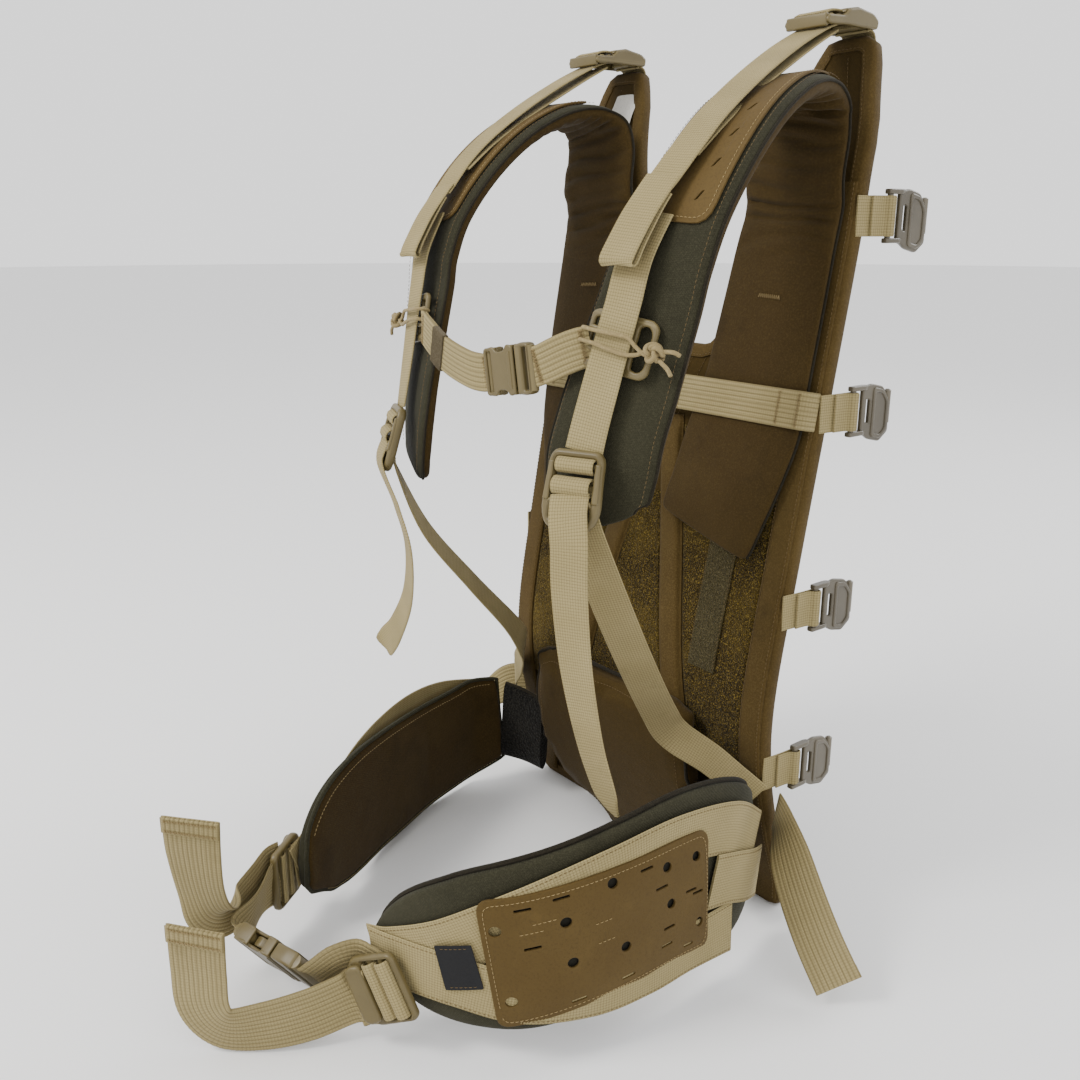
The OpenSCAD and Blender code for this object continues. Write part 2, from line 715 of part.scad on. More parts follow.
frame_sheet();
front_cover();
back_cover();
edge_rails();
stays();
stay_sleeves();
loop_field();
hook_strips();
torso_webbing();
care_label();
side_webbing();  // side_webbing_left
mirror([1, 0, 0]) side_webbing();  // side_webbing_right
side_buckle(0);  // side_buckle_left_1
side_buckle(1);  // side_buckle_left_2
side_buckle(2);  // side_buckle_left_3
side_buckle(3);  // side_buckle_left_4
mirror([1, 0, 0]) side_buckle(0);  // side_buckle_right_1
mirror([1, 0, 0]) side_buckle(1);  // side_buckle_right_2
mirror([1, 0, 0]) side_buckle(2);  // side_buckle_right_3
mirror([1, 0, 0]) side_buckle(3);  // side_buckle_right_4
shoulder_pad();  // shoulder_pad_left
mirror([1, 0, 0]) shoulder_pad();  // shoulder_pad_right
yoke_panel();  // yoke_panel_left
mirror([1, 0, 0]) yoke_panel();  // yoke_panel_right
both_sides() strap_patch();  // strap_patches
shoulder_webbing();  // shoulder_webbing_left
mirror([1, 0, 0]) shoulder_webbing();  // shoulder_webbing_right
lifter_webbing();  // lifter_webbing_left
mirror([1, 0, 0]) lifter_webbing();  // lifter_webbing_right
both_sides() lifter_anchor();  // lifter_anchors
lifter_buckle();  // lifter_buckle_left
mirror([1, 0, 0]) lifter_buckle();  // lifter_buckle_right
ladder_lock();  // ladder_lock_left
mirror([1, 0, 0]) ladder_lock();  // ladder_lock_right
lower_webbing(lower_points_left, tail_points_left);  // lower_webbing_left
lower_webbing(lower_points_right, tail_points_right);  // lower_webbing_right
both_sides() keeper();  // sternum_keepers
both_sides() shock_cord();  // shock_cords
sternum_webbing_left();
sternum_webbing_right();
sternum_buckle_female();
sternum_buckle_male();
lumbar_pad();
both_sides() belt_root();  // belt_roots
hip_wing_left();
hip_wing_right();
wing_patch_left();
wing_patch_right();
wing_bands_left();
wing_bands_right();
belt_label();
tri_glide_left();
tri_glide_right();
belt_webbing_left();
belt_webbing_right();
belt_buckle_female();
belt_buckle_male();
stabilizer_straps();
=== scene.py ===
import math
import random

import bpy
import bmesh
from mathutils import Matrix, Vector, noise
from mathutils.bvhtree import BVHTree


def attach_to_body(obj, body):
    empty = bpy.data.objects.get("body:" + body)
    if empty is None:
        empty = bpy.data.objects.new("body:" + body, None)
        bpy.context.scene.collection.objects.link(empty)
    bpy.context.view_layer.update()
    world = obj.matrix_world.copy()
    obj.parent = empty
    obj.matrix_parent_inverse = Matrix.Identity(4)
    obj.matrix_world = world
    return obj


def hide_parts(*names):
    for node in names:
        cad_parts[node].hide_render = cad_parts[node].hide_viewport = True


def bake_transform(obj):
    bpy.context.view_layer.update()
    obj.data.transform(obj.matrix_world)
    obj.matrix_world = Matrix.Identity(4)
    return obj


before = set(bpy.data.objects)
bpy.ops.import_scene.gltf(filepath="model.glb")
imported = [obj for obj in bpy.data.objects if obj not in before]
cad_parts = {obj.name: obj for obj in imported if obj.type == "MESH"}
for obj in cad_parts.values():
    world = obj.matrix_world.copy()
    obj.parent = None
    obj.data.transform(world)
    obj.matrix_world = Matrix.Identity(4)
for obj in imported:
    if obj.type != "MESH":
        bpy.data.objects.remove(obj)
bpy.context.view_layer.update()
random.seed(11)
MM = 0.001                      # everything below is in millimetres until it is stored
SIDES = (("left", 1), ("right", -1))
NARROW, WIDE, THICK = 25.4, 38, 1.6     # webbing: the harness's width, the belt's, and how thick


# ---- Camera, light and floor ----
def make_camera(place, azimuth, elevation, lens):
    a, e = math.radians(azimuth), math.radians(elevation)
    right = Vector((math.cos(a), math.sin(a), 0))
    back = Vector((math.sin(a) * math.cos(e), -math.cos(a) * math.cos(e), math.sin(e)))
    turn = Matrix((right, back.cross(right), back)).transposed().to_4x4()
    data = bpy.data.cameras.new("camera")
    data.lens, data.sensor_width, data.clip_end = lens, 36, 60
    camera = bpy.data.objects.new("camera", data)
    camera.matrix_world = Matrix.Translation(place) @ turn
    bpy.context.scene.collection.objects.link(camera)
    bpy.context.scene.camera = camera


def area_light(name, place, target, size, power, tint=(1, 1, 1)):
    data = bpy.data.lights.new(name, "AREA")
    data.size, data.energy, data.color = size, power, tint
    light = bpy.data.objects.new(name, data)
    aim = Vector(target) - Vector(place)
    light.matrix_world = Matrix.Translation(place) @ aim.to_track_quat("-Z", "Y").to_matrix().to_4x4()
    bpy.context.scene.collection.objects.link(light)


def make_studio():
    world = bpy.data.worlds.new("studio")
    world.use_nodes = True
    world.node_tree.nodes["Background"].inputs["Color"].default_value = (1, 1, 1, 1)
    world.node_tree.nodes["Background"].inputs["Strength"].default_value = 1.5
    bpy.context.scene.world = world
    middle = (0, -0.1, 0.3)
    area_light("key", (-0.5, -1.9, 1.9), middle, 0.8, 52, (1, 0.98, 0.94))
    area_light("fill", (2.2, -0.6, 1.2), middle, 1.4, 10)
    area_light("rim", (0.6, 1.9, 1.6), middle, 1.0, 18)
    mesh = bpy.data.meshes.new("floor")
    r = 14.0
    ring = [(r * math.cos(t * math.tau / 64), r * math.sin(t * math.tau / 64), 0) for t in range(64)]
    mesh.from_pydata(ring, [], [list(range(64))])
    floor = bpy.data.objects.new("floor", mesh)
    bpy.context.scene.collection.objects.link(floor)
    look = Look("floor", (0.86, 0.86, 0.86), 0.9)
    look.bump(look.noise(40), 0.02, 0.001)
    mesh.materials.append(look.material)


# ---- Materials ----
class Look:
    """A procedural material: colour layers and bump layers are added to a Principled shader."""

    def __init__(self, name, colour, roughness, coords="Object", **sockets):
        self.material = bpy.data.materials.new(name)
        self.material.use_nodes = True
        self.tree = self.material.node_tree
        self.shader = self.tree.nodes["Principled BSDF"]
        self.shader.inputs["Roughness"].default_value = roughness
        for socket, value in sockets.items():
            self.shader.inputs[socket.replace("_", " ")].default_value = value
        self.coords = self.node("ShaderNodeTexCoord").outputs[coords]
        self.colour = self.node("ShaderNodeRGB").outputs[0]
        self.colour.default_value = (*colour, 1)
        self.normal = None

    def node(self, kind, links=None, **settings):
        made = self.tree.nodes.new(kind)
        for key, value in settings.items():
            setattr(made, key, value)
        for key, value in (links or {}).items():
            if isinstance(value, bpy.types.NodeSocket):
                self.tree.links.new(value, made.inputs[key])
            else:
                made.inputs[key].default_value = value
        return made

    def noise(self, scale, detail=3.0):
        links = {"Vector": self.coords, "Scale": scale, "Detail": detail, "Roughness": 0.6}
        return self.node("ShaderNodeTexNoise", links).outputs[0]

    def bands(self, pitch, direction):
        links = {"Vector": self.coords, "Scale": math.tau / (20 * pitch * MM), "Detail": 0.0}
        return self.node("ShaderNodeTexWave", links, bands_direction=direction).outputs["Fac"]

    def cells(self, pitch):
        links = {"Vector": self.coords, "Scale": 1 / (pitch * MM)}
        return self.node("ShaderNodeTexVoronoi", links).outputs["Distance"]

    def maths(self, operation, a, b):
        return self.node("ShaderNodeMath", {0: a, 1: b}, operation=operation).outputs[0]

    def ramp(self, value, low, high):
        links = {"Value": value, "From Min": low, "From Max": high}
        return self.node("ShaderNodeMapRange", links).outputs[0]

    def tint(self, factor, colour, amount):
        factor = self.maths("MULTIPLY", factor, amount)
        mix = self.node("ShaderNodeMix", {0: factor, 6: self.colour, 7: (*colour, 1)}, data_type="RGBA")
        self.colour = mix.outputs[2]

    def mottle(self, scale, detail, low, high, colour, amount):
        """Patches of another colour, where a noise lies above low."""
        self.tint(self.ramp(self.noise(scale, detail), low, high), colour, amount)

    def bump(self, height, strength, distance):
        links = {"Height": height, "Strength": strength, "Distance": distance}
        if self.normal:
            links["Normal"] = self.normal
        self.normal = self.node("ShaderNodeBump", links).outputs[0]

    def grain(self, scale, detail, strength, distance):
        self.bump(self.noise(scale, detail), strength, distance)

    def edge_highlight(self, colour, amount):
        # Painted highlight: convex edges, where pointiness is high, are tinted towards a lighter colour.
        edge = self.node("ShaderNodeNewGeometry").outputs["Pointiness"]
        self.tint(self.ramp(edge, 0.52, 0.62), colour, amount)

    def done(self):
        self.tree.links.new(self.colour, self.shader.inputs["Base Color"])
        if self.normal:
            self.tree.links.new(self.normal, self.shader.inputs["Normal"])
        return self.material


def darker(colour, share):
    return tuple(c * share for c in colour)


def woven(name, colour, light, pitch=0.9, depth=0.35, roughness=0.85, sheen=0.04):
    look = Look(name, colour, roughness, Sheen_Weight=sheen, Sheen_Roughness=0.5, Specular_IOR_Level=0.1)
    weave = look.maths("MULTIPLY", look.bands(pitch, "DIAGONAL"), look.bands(pitch, "Z"))
    look.tint(look.ramp(weave, 0.35, 0.0), darker(colour, 0.5), 0.5)
    look.mottle(900, 4, 0.45, 0.75, light, 0.6)
    look.mottle(9, 4, 0.5, 0.8, light, 0.4)
    look.mottle(30, 5, 0.55, 0.8, darker(colour, 0.45), 0.6)
    look.bump(weave, depth, 0.0004)
    look.grain(1500, 2, 0.35, 0.0003)
    look.grain(60, 4, 0.3, 0.002)
    return look.done()


def webbing_look(name, colour, dark, light, lines):
    """Basket weave, or with lines a ribbed weave whose dark lines run along the strap."""
    look = Look(name, colour, 0.8, coords="UV", Sheen_Weight=0.05, Sheen_Roughness=0.4,
                Specular_IOR_Level=0.12)
    a = look.maths("SUBTRACT", look.bands(3.6, "X"), 0.5)
    b = look.maths("SUBTRACT", look.bands(3.8, "Y"), 0.5)
    weave = look.maths("ABSOLUTE", look.maths("MULTIPLY", a, b), 0)
    look.mottle(14, 3, 0.45, 0.8, light, 0.45)
    look.tint(look.ramp(weave, 0.09, 0.0), dark, 0.35 if lines else 0.6)
    if lines:
        rib = look.bands(3.1, "X")
        look.tint(look.ramp(rib, 0.4, 0.05), dark, 0.5)
        look.bump(rib, 0.5, 0.0007)
    look.mottle(1400, 2, 0.5, 0.75, dark, 0.35)
    look.mottle(45, 4, 0.58, 0.8, dark, 0.3)
    look.bump(weave, 0.7, 0.0009)
    look.grain(1800, 2, 0.35, 0.0003)
    return look.done()


def moulded_look(name, colour, light, roughness, grain=0.25, coat=0.0):
    look = Look(name, colour, roughness, Coat_Weight=coat, Coat_Roughness=0.3, Specular_IOR_Level=0.35)
    look.mottle(25, 4, 0.4, 0.8, light, 0.3)
    look.mottle(400, 3, 0.55, 0.8, darker(colour, 0.6), 0.35)
    # Painted highlight along the moulded edges, in the lighter tone.
    look.edge_highlight(light, 0.6)
    look.grain(2200, 2, grain, 0.0002)
    look.grain(120, 3, 0.12, 0.0008)
    return look.done()


def laminate_look(name, colour, light):
    look = Look(name, colour, 0.7, Sheen_Weight=0.03, Specular_IOR_Level=0.15)
    look.mottle(12, 4, 0.4, 0.8, light, 0.5)
    look.mottle(700, 4, 0.5, 0.75, darker(colour, 0.5), 0.5)
    look.mottle(50, 5, 0.6, 0.8, light, 0.35)
    look.grain(1600, 3, 0.35, 0.0003)
    look.grain(90, 4, 0.25, 0.001)
    return look.done()


def pile_look(name, colour, light, dark, pitch, relief):
    look = Look(name, colour, 0.95, Sheen_Weight=0.05, Specular_IOR_Level=0.08)
    cells = look.cells(pitch)
    look.tint(look.ramp(cells, 0.15, 0.75), dark, 0.85)
    look.mottle(1100, 3, 0.52, 0.66, light, 0.9)
    look.mottle(18, 3, 0.45, 0.75, light, 0.3)
    look.bump(cells, relief, 0.0012)
    look.grain(1300, 3, 0.6, 0.0008)
    return look.done()


def thread_look(name, colour, light):
    look = Look(name, colour, 0.7, Sheen_Weight=0.05, Specular_IOR_Level=0.2)
    look.tint(look.bands(0.5, "DIAGONAL"), light, 0.5)
    look.mottle(500, 3, 0.5, 0.7, light, 0.5)
    look.bump(look.bands(0.5, "DIAGONAL"), 0.4, 0.0003)
    return look.done()


BROWN = woven("brown_fabric", (0.040, 0.024, 0.0045), (0.068, 0.043, 0.010))
LINING = woven("brown_lining", (0.036, 0.0215, 0.005), (0.066, 0.042, 0.012), 0.7, 0.3)
OLIVE = woven("olive_fabric", (0.024, 0.0225, 0.012), (0.048, 0.045, 0.026), 1.0, 0.5)
RAIL = woven("rail_fabric", (0.060, 0.037, 0.009), (0.115, 0.076, 0.024), 0.7, 0.25, 0.75)
BLACK = woven("black_binding", (0.013, 0.0105, 0.006), (0.03, 0.026, 0.016), 0.8, 0.4)
SPACER = pile_look("black_mesh", (0.010, 0.009, 0.007), (0.028, 0.025, 0.02), (0.002,) * 3, 2.2, 0.9)
LAMINATE = laminate_look("tan_laminate", (0.066, 0.040, 0.009), (0.105, 0.066, 0.018))
HOLE = laminate_look("hole_shadow", (0.008, 0.007, 0.004), (0.014, 0.012, 0.008))
LOOPS = pile_look("loop_pile", (0.036, 0.023, 0.004), (0.20, 0.135, 0.025), (0.008, 0.005, 0.001), 1.3, 0.9)
HOOKS = pile_look("hook_tape", (0.050, 0.040, 0.015), (0.11, 0.09, 0.042), (0.02, 0.016, 0.006), 1.1, 0.8)
WEAVE_TONES = (0.275, 0.222, 0.105), (0.09, 0.068, 0.028), (0.36, 0.30, 0.16)
KHAKI = webbing_look("khaki_webbing", *WEAVE_TONES, False)
RIBBED = webbing_look("ribbed_webbing", *WEAVE_TONES, True)
ELASTIC = woven("elastic_band", (0.085, 0.068, 0.040), (0.15, 0.125, 0.08), 0.8, 0.5)
TAN = moulded_look("tan_plastic", (0.088, 0.066, 0.023), (0.19, 0.15, 0.065), 0.4)
TAUPE = moulded_look("side_plastic", (0.060, 0.049, 0.030), (0.18, 0.155, 0.11), 0.3, 0.15, 0.25)
THREAD = thread_look("tan_thread", (0.20, 0.14, 0.055), (0.34, 0.26, 0.13))
DARK_THREAD = thread_look("brown_thread", (0.075, 0.046, 0.015), (0.15, 0.10, 0.04))
CORD = thread_look("khaki_cord", (0.17, 0.125, 0.05), (0.34, 0.27, 0.14))
WHITE = laminate_look("white_label", (0.60, 0.58, 0.53), (0.72, 0.70, 0.66))
LABEL = laminate_look("black_label", (0.009, 0.009, 0.010), (0.02, 0.02, 0.022))
METAL = moulded_look("stay_metal", (0.5, 0.5, 0.5), (0.7, 0.7, 0.7), 0.35)


# ---- Paths: rows are x, y, z, the direction across, width, thickness, offset across and out ----
def spline(rows, n):
    """A Catmull-Rom curve through the rows, with n points to each stretch."""
    out = []
    for i in range(len(rows) - 1):
        a, b = rows[max(i - 1, 0)], rows[i]
        c, d = rows[i + 1], rows[min(i + 2, len(rows) - 1)]
        for k in range(n):
            t = k / n
            out.append([0.5 * (2 * q + (r - p) * t + (2 * p - 5 * q + 4 * r - s) * t * t
                        + (3 * q - p - 3 * r + s) * t ** 3) for p, q, r, s in zip(a, b, c, d)])
    return out + [list(rows[-1])]


def even(rows, step):
    """The smooth path through the rows, cut to equal steps along its length."""
    dense = spline(rows, 14)
    marks = [0.0]
    for a, b in zip(dense, dense[1:]):
        marks.append(marks[-1] + math.dist(a[:3], b[:3]))
    count = max(2, round(marks[-1] / step))
    out, k = [], 0
    for i in range(count + 1):
        s = marks[-1] * i / count
        while k < len(dense) - 2 and marks[k + 1] < s:
            k += 1
        f = (s - marks[k]) / max(marks[k + 1] - marks[k], 1e-9)
        out.append([p + (q - p) * f for p, q in zip(dense[k], dense[k + 1])])
    return out


class Station:
    """One place on a strap: its point, the directions across and out, and its size."""

    def __init__(self, rows, i):
        row = rows[i]
        before, after = rows[max(i - 1, 0)], rows[min(i + 1, len(rows) - 1)]
        self.along = (Vector(after[:3]) - Vector(before[:3])).normalized()
        across = Vector(row[3:6])
        self.across = (across - self.along * self.along.dot(across)).normalized()
        self.out = self.across.cross(self.along)
        self.width, self.thick = row[6], row[7]
        du, dv = (row[8], row[9]) if len(row) > 9 else (0, 0)
        self.middle = Vector(row[:3]) + self.across * du + self.out * dv

    def at(self, a, b):
        return self.middle + self.across * (a * self.width) + self.out * (b * self.thick)


def stations(rows):
    return [Station(rows, i) for i in range(len(rows))]


def mirrored(rows, s):
    """Rows for the other side: the direction across is kept pointing so that out stays out."""
    if s > 0:
        return [list(r) for r in rows]
    return [[-r[0], r[1], r[2], r[3], -r[4], -r[5], *r[6:8], *([-r[8], r[9]] if len(r) > 9 else [])]
            for r in rows]


WEB = [(-0.5, 0.5), (-0.487, 0.86), (-0.45, 1.0), (-0.3, 0.93), (-0.1, 0.99), (0.1, 0.93), (0.3, 0.99),
       (0.45, 1.0), (0.487, 0.86), (0.5, 0.5), (0.487, 0.14), (0.45, 0), (0.3, 0.06), (0.1, 0.01),
       (-0.1, 0.06), (-0.3, 0.01), (-0.45, 0), (-0.487, 0.14)]


def round_section(count, power=0.5):
    """A squarish closed section, one wide and one thick, on its back face."""
    out = []
    for k in range(count):
        t = math.tau * (k + 0.5) / count
        c, s = math.cos(t), math.sin(t)
        out.append((0.5 * math.copysign(abs(c) ** power, c), 0.5 + 0.5 * math.copysign(abs(s) ** power, s)))
    return out


# ---- Meshes ----
class Piece:
    """The geometry of one object, gathered in millimetres."""

    def __init__(self, name, *materials):
        self.name, self.materials = name, materials
        self.verts, self.faces, self.slots, self.uvs = [], [], [], []

    def add(self, verts, faces, slot=0, uvs=None):
        base = len(self.verts)
        self.verts.extend(verts)
        for i, face in enumerate(faces):
            self.faces.append([base + j for j in face])
            self.slots.append(slot[i] if isinstance(slot, list) else slot)
            self.uvs.append(uvs[i] if uvs else [(verts[j][0] * MM, verts[j][2] * MM) for j in face])

    def loft(self, rings, marks=4.0, across=None, slot=0, caps=True):
        """A skin through closed rings; marks are the rings' places along it, or their one spacing."""
        n, m = len(rings), len(rings[0])
        marks = marks if isinstance(marks, list) else [marks * i for i in range(n)]
        across = [*across, across[0]] if across else [4.0 * j for j in range(m + 1)]
        faces, uvs, slots = [], [], []
        for i in range(n - 1):
            for j in range(m):
                k = (j + 1) % m
                faces.append([i * m + j, i * m + k, (i + 1) * m + k, (i + 1) * m + j])
                uvs.append([(across[q] * MM, marks[p] * MM)
                            for p, q in ((i, j), (i, j + 1), (i + 1, j + 1), (i + 1, j))])
                slots.append(slot[j] if isinstance(slot, list) else slot)
        if caps:
            for i, order in ((0, range(m - 1, -1, -1)), (n - 1, range(m))):
                faces.append([i * m + j for j in order])
                uvs.append([(across[j] * MM, marks[i] * MM) for j in order])
                slots.append(slot[0] if isinstance(slot, list) else slot)
        self.add([v for r in rings for v in r], faces, slots, uvs)

    def tube(self, points, radius, sides=8, slot=0, closed=False, taper=False):
        points = [Vector(p) for p in points]
        n = len(points)
        rings, side = [], None
        for i, p in enumerate(points):
            after = points[(i + 1) % n] if closed else points[min(i + 1, n - 1)]
            before = points[i - 1] if closed else points[max(i - 1, 0)]
            along = (after - before).normalized()
            if side is None:
                side = along.orthogonal().normalized()
            side = (side - along * along.dot(side)).normalized()
            up = along.cross(side)
            r = radius * (0.45 if taper and i in (0, n - 1) else 1)
            rings.append([p + (side * math.cos(t) + up * math.sin(t)) * r
                          for t in (math.tau * k / sides for k in range(sides))])
        if closed:
            rings.append(rings[0])
        marks = [0.0]
        for a, b in zip(rings, rings[1:]):
            marks.append(marks[-1] + (a[0] - b[0]).length)
        self.loft(rings, marks, slot=slot, caps=not closed)

    def stitches(self, points, outs, slot, radius=0.3):
        """A row of thread along a line on a surface; outs are the surface's directions."""
        pitch, length, marks = 3.0, 2.1, [0.0]
        for a, b in zip(points, points[1:]):
            marks.append(marks[-1] + (b - a).length)

        def at(s):
            k = max(i for i in range(len(marks)) if marks[i] <= s or i == 0)
            k = min(k, len(points) - 2)
            f = (s - marks[k]) / max(marks[k + 1] - marks[k], 1e-9)
            return points[k].lerp(points[k + 1], f), outs[k].lerp(outs[k + 1], f).normalized()

        s = pitch / 2
        while s + length < marks[-1]:
            ends = [at(s), at(s + length / 2), at(s + length)]
            lift = (-0.1, 0.22, -0.1)
            self.tube([p + n * h for (p, n), h in zip(ends, lift)], radius, 5, slot, taper=True)
            s += pitch

    def bartack(self, place, width, slot=1, a=0.0, b=1.05, rows=3):
        """A dense zigzag of thread across a strap: on its face, or with b below 0.5 on its back."""
        middle, across, out = place.at(a, b), place.across, place.out if b > 0.5 else -place.out
        along = out.cross(across).normalized()
        count = round(width / 0.9)
        points = []
        for i in range(count + 1):
            swing = 1 if i % 2 else -1
            points.append(middle + across * (width * (i / count - 0.5)) + along * (swing * rows * 0.4)
                          + out * (0.15 + 0.12 * (i % 2)))
        self.tube(points, 0.32, 5, slot)

    def store(self, body, *nodes, slot=None, smooth=40, subdivide=0):
        obj = self.mesh_object(smooth)
        if subdivide:
            obj.modifiers.new("smooth", "SUBSURF").levels = subdivide
            settle(obj)
        attach(obj, body, *nodes, slot=slot)
        return obj

    def mesh_object(self, smooth=40):
        mesh = bpy.data.meshes.new(self.name)
        mesh.from_pydata([tuple(Vector(v) * MM) for v in self.verts], [], self.faces)
        layer = mesh.uv_layers.new(name="cloth")
        for face, uvs in zip(mesh.polygons, self.uvs):
            for loop, uv in zip(face.loop_indices, uvs):
                layer.data[loop].uv = uv
        for material in self.materials:
            mesh.materials.append(material)
        mesh.polygons.foreach_set("material_index", self.slots)
        obj = bpy.data.objects.new(self.name, mesh)
        bpy.context.scene.collection.objects.link(obj)
        tidy_normals(mesh)
        shade(mesh, smooth)
        return obj


def tidy_normals(mesh):
    """Turns every face outwards."""
    work = bmesh.new()
    work.from_mesh(mesh)
    bmesh.ops.recalc_face_normals(work, faces=work.faces)
    work.to_mesh(mesh)
    work.free()


def shade(mesh, angle):
    mesh.shade_smooth()
    mesh.set_sharp_from_angle(angle=math.radians(angle))


def settle(obj):
    """Applies an object's modifiers."""
    seen = obj.evaluated_get(bpy.context.evaluated_depsgraph_get())
    mesh = bpy.data.meshes.new_from_object(seen)
    obj.modifiers.clear()
    obj.data = mesh


def attach(obj, body, *nodes, slot=None):
    if body:
        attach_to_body(obj, body)
    if nodes:
        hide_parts(*nodes)


def strap(piece, rows, pitch=2.0, ribs=0.13, slot=0):
    """Webbing with real ribs across it; returns its stations."""
    places = stations(even(rows, pitch / 2))
    rings = []
    for i, s in enumerate(places):
        swell = 1 + (ribs if i % 2 else -ribs)
        rings.append([s.at(a, 0.5 + (b - 0.5) * swell) for a, b in WEB])
    piece.loft(rings, pitch / 2, [a * places[0].width for a, _ in WEB], slot)
    return places


def nearest(places, axis, value):
    return min(places, key=lambda q: abs(q.middle[axis] - value))


def hem(piece, places, count, lift):
    """The strap's end turned back over its last stations."""
    strap(piece, [[*s.at(0, lift), *s.across, s.width, 1.5] for s in places[-count:]])


def line_on(places, a, b, first=0, last=None):
    chosen = places[first:last]
    return [s.at(a, b) for s in chosen], [s.out * (1 if b > 0.5 else -1) for s in chosen]


# ---- Soft pieces: inflated by cloth simulation, all in one run ----
def merge_copies(name, nodes):
    work = bmesh.new()
    for node in nodes:
        work.from_mesh(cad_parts[node].data)
    mesh = bpy.data.meshes.new(name)
    work.to_mesh(mesh)
    work.free()
    obj = bpy.data.objects.new(name, mesh)
    bpy.context.scene.collection.objects.link(obj)
    return obj


def remeshed(name, nodes, voxel, rounds):
    """One closed skin round CAD solids, softened by a few rounds of smoothing."""
    obj = merge_copies(name, nodes)
    remesh = obj.modifiers.new("remesh", "REMESH")
    remesh.mode, remesh.voxel_size = "VOXEL", voxel * MM
    obj.modifiers.new("smooth", "SMOOTH").iterations = rounds
    settle(obj)
    return obj


def inflate(jobs, steps=20):
    """Each job is an object, its pressure, the most a point may move in mm, and pinned points."""
    before = {}
    for obj, pressure, _, pins in jobs:
        before[obj.name] = [v.co.copy() for v in obj.data.vertices]
        cloth = obj.modifiers.new("cloth", "CLOTH")
        cloth.settings.use_pressure = True
        cloth.settings.uniform_pressure_force = pressure
        cloth.settings.effector_weights.gravity = 0
        cloth.settings.quality = 5
        cloth.settings.bending_stiffness = 1.5
        cloth.collision_settings.use_collision = False
        cloth.point_cache.frame_start = 1
        cloth.point_cache.frame_end = steps
        if pins:
            group = obj.vertex_groups.new(name="pin")
            group.add(pins, 1.0, "REPLACE")
            cloth.settings.vertex_group_mass = "pin"
    for step in range(1, steps + 1):
        bpy.context.scene.frame_set(step)
    for obj, _, cap, _ in jobs:
        settle(obj)
        for v, was in zip(obj.data.vertices, before[obj.name]):
            move = v.co - was
            if move.length > cap * MM:
                v.co = was + move * (cap * MM / move.length)
    bpy.context.scene.frame_set(1)


def soft_shell(name, places, section, pitch, seam, hold, inset=0.0):
    """An olive and brown shell to inflate; returns it and the points held at its edges and ends."""
    piece, n, last = Piece(name, OLIVE, LINING), len(section), len(places) - 1
    rings = [[p.at(a * 0.985, inset + b * (1 - 2 * inset)) for a, b in section] for p in places]
    slots = [0 if (section[j][1] + section[(j + 1) % n][1]) / 2 > seam else 1 for j in range(n)]
    piece.loft(rings, pitch, slot=slots)
    held = [i * n + j for i in range(last + 1) for j in range(n)
            if i in (0, last) or abs(section[j][0]) > hold]
    return piece.mesh_object(60), held


def drop_on(tree, points, direction, lift=0.2):
    """Moves points onto a surface along a direction; returns the places and the directions out."""
    hits, outs = [], []
    direction = Vector(direction).normalized()
    for p in points:
        hit, normal, _, _ = tree.ray_cast(Vector(p) - direction * 60, direction)
        if hit is not None:
            normal = normal if normal.dot(direction) < 0 else -normal
            hits.append(hit + normal * lift)
            outs.append(normal)
    return hits, outs


# ---- The frame's own surface ----
SPINE = spline([(0, -14), (0, 22), (-13, 62), (-26, 118), (-27, 176), (-10, 274),
                (12, 393), (28, 481), (38, 545), (57, 606), (61, 616)], 8)
D_FRONT, D_FIELD, D_YOKE, D_YOKE_TOP = 4.1, 5.7, 9.5, 17.5     # depths before the middle
HALF_W, NOTCH_Z, NOTCH_HALF = 140, 405, 42


def spine_at(z):
    """The frame's middle at height z: its y, and the direction up along it as (y, z)."""
    for (ya, za), (yb, zb) in zip(SPINE, SPINE[1:]):
        if za <= z <= zb:
            return ya + (yb - ya) * ((z - za) / (zb - za)), Vector((yb - ya, zb - za)).normalized()
    raise ValueError(z)


def on_frame(x, z, d):
    """The point at depth d before the frame's middle, square to it from height z."""
    y, up = spine_at(z)
    return Vector((x, y - up[1] * d, z + up[0] * d))


def frame_out(z):
    return (on_frame(0, z, 1) - on_frame(0, z, 0)).normalized()


def frame_row(x, z, d, width, thick):
    return [*on_frame(x, z, d), 1, 0, 0, width, thick]


def frame_outline():
    """The frame's edge as (x, z), from the foot up the left side and round the notch."""
    side, corner = NOTCH_HALF, 14
    half = [(HALF_W - 8, 1), (HALF_W - 2, 3), (HALF_W, 8), (HALF_W, 540), (HALF_W - 2, 556),
            (HALF_W - 11, 590), (HALF_W - 15, 600), (HALF_W - 22, 604), (side + 56, 604),
            (side + 48, 602), (side + 43, 592), (side + 38, 580), (side + 18, 500), (side + 2, 424)]
    half += [(side - corner + corner * math.cos(t), NOTCH_Z + corner + corner * math.sin(t))
             for t in (math.radians(a) for a in (0, -30, -60, -90))]
    return half + [(-x, z) for x, z in reversed(half)]


# ---- Flat moulded and cut pieces ----
def rounded(points, radius, steps=4):
    """A polygon with its corners rounded; radius is one number or one for each corner."""
    out = []
    for i, p in enumerate(points):
        a, b, c = Vector(points[i - 1]), Vector(p), Vector(points[(i + 1) % len(points)])
        r = radius[i] if isinstance(radius, (list, tuple)) else radius
        r = min(r, (a - b).length * 0.49, (c - b).length * 0.49)
        start, end = b + (a - b).normalized() * r, b + (c - b).normalized() * r
        for k in range(steps + 1):
            t = k / steps
            out.append(start.lerp(b, t).lerp(b.lerp(end, t), t))
    return out


def both_halves(half):
    """An outline that is the same above and below y = 0, from the points of one half."""
    return half + [(x, -y) for x, y in reversed(half)]


def box_outline(x0, x1, y0, y1):
    return [(x0, y0), (x1, y0), (x1, y1), (x0, y1)]


def circle(x, y, r, n=20):
    return [(x + r * math.cos(math.tau * k / n), y + r * math.sin(math.tau * k / n)) for k in range(n)]


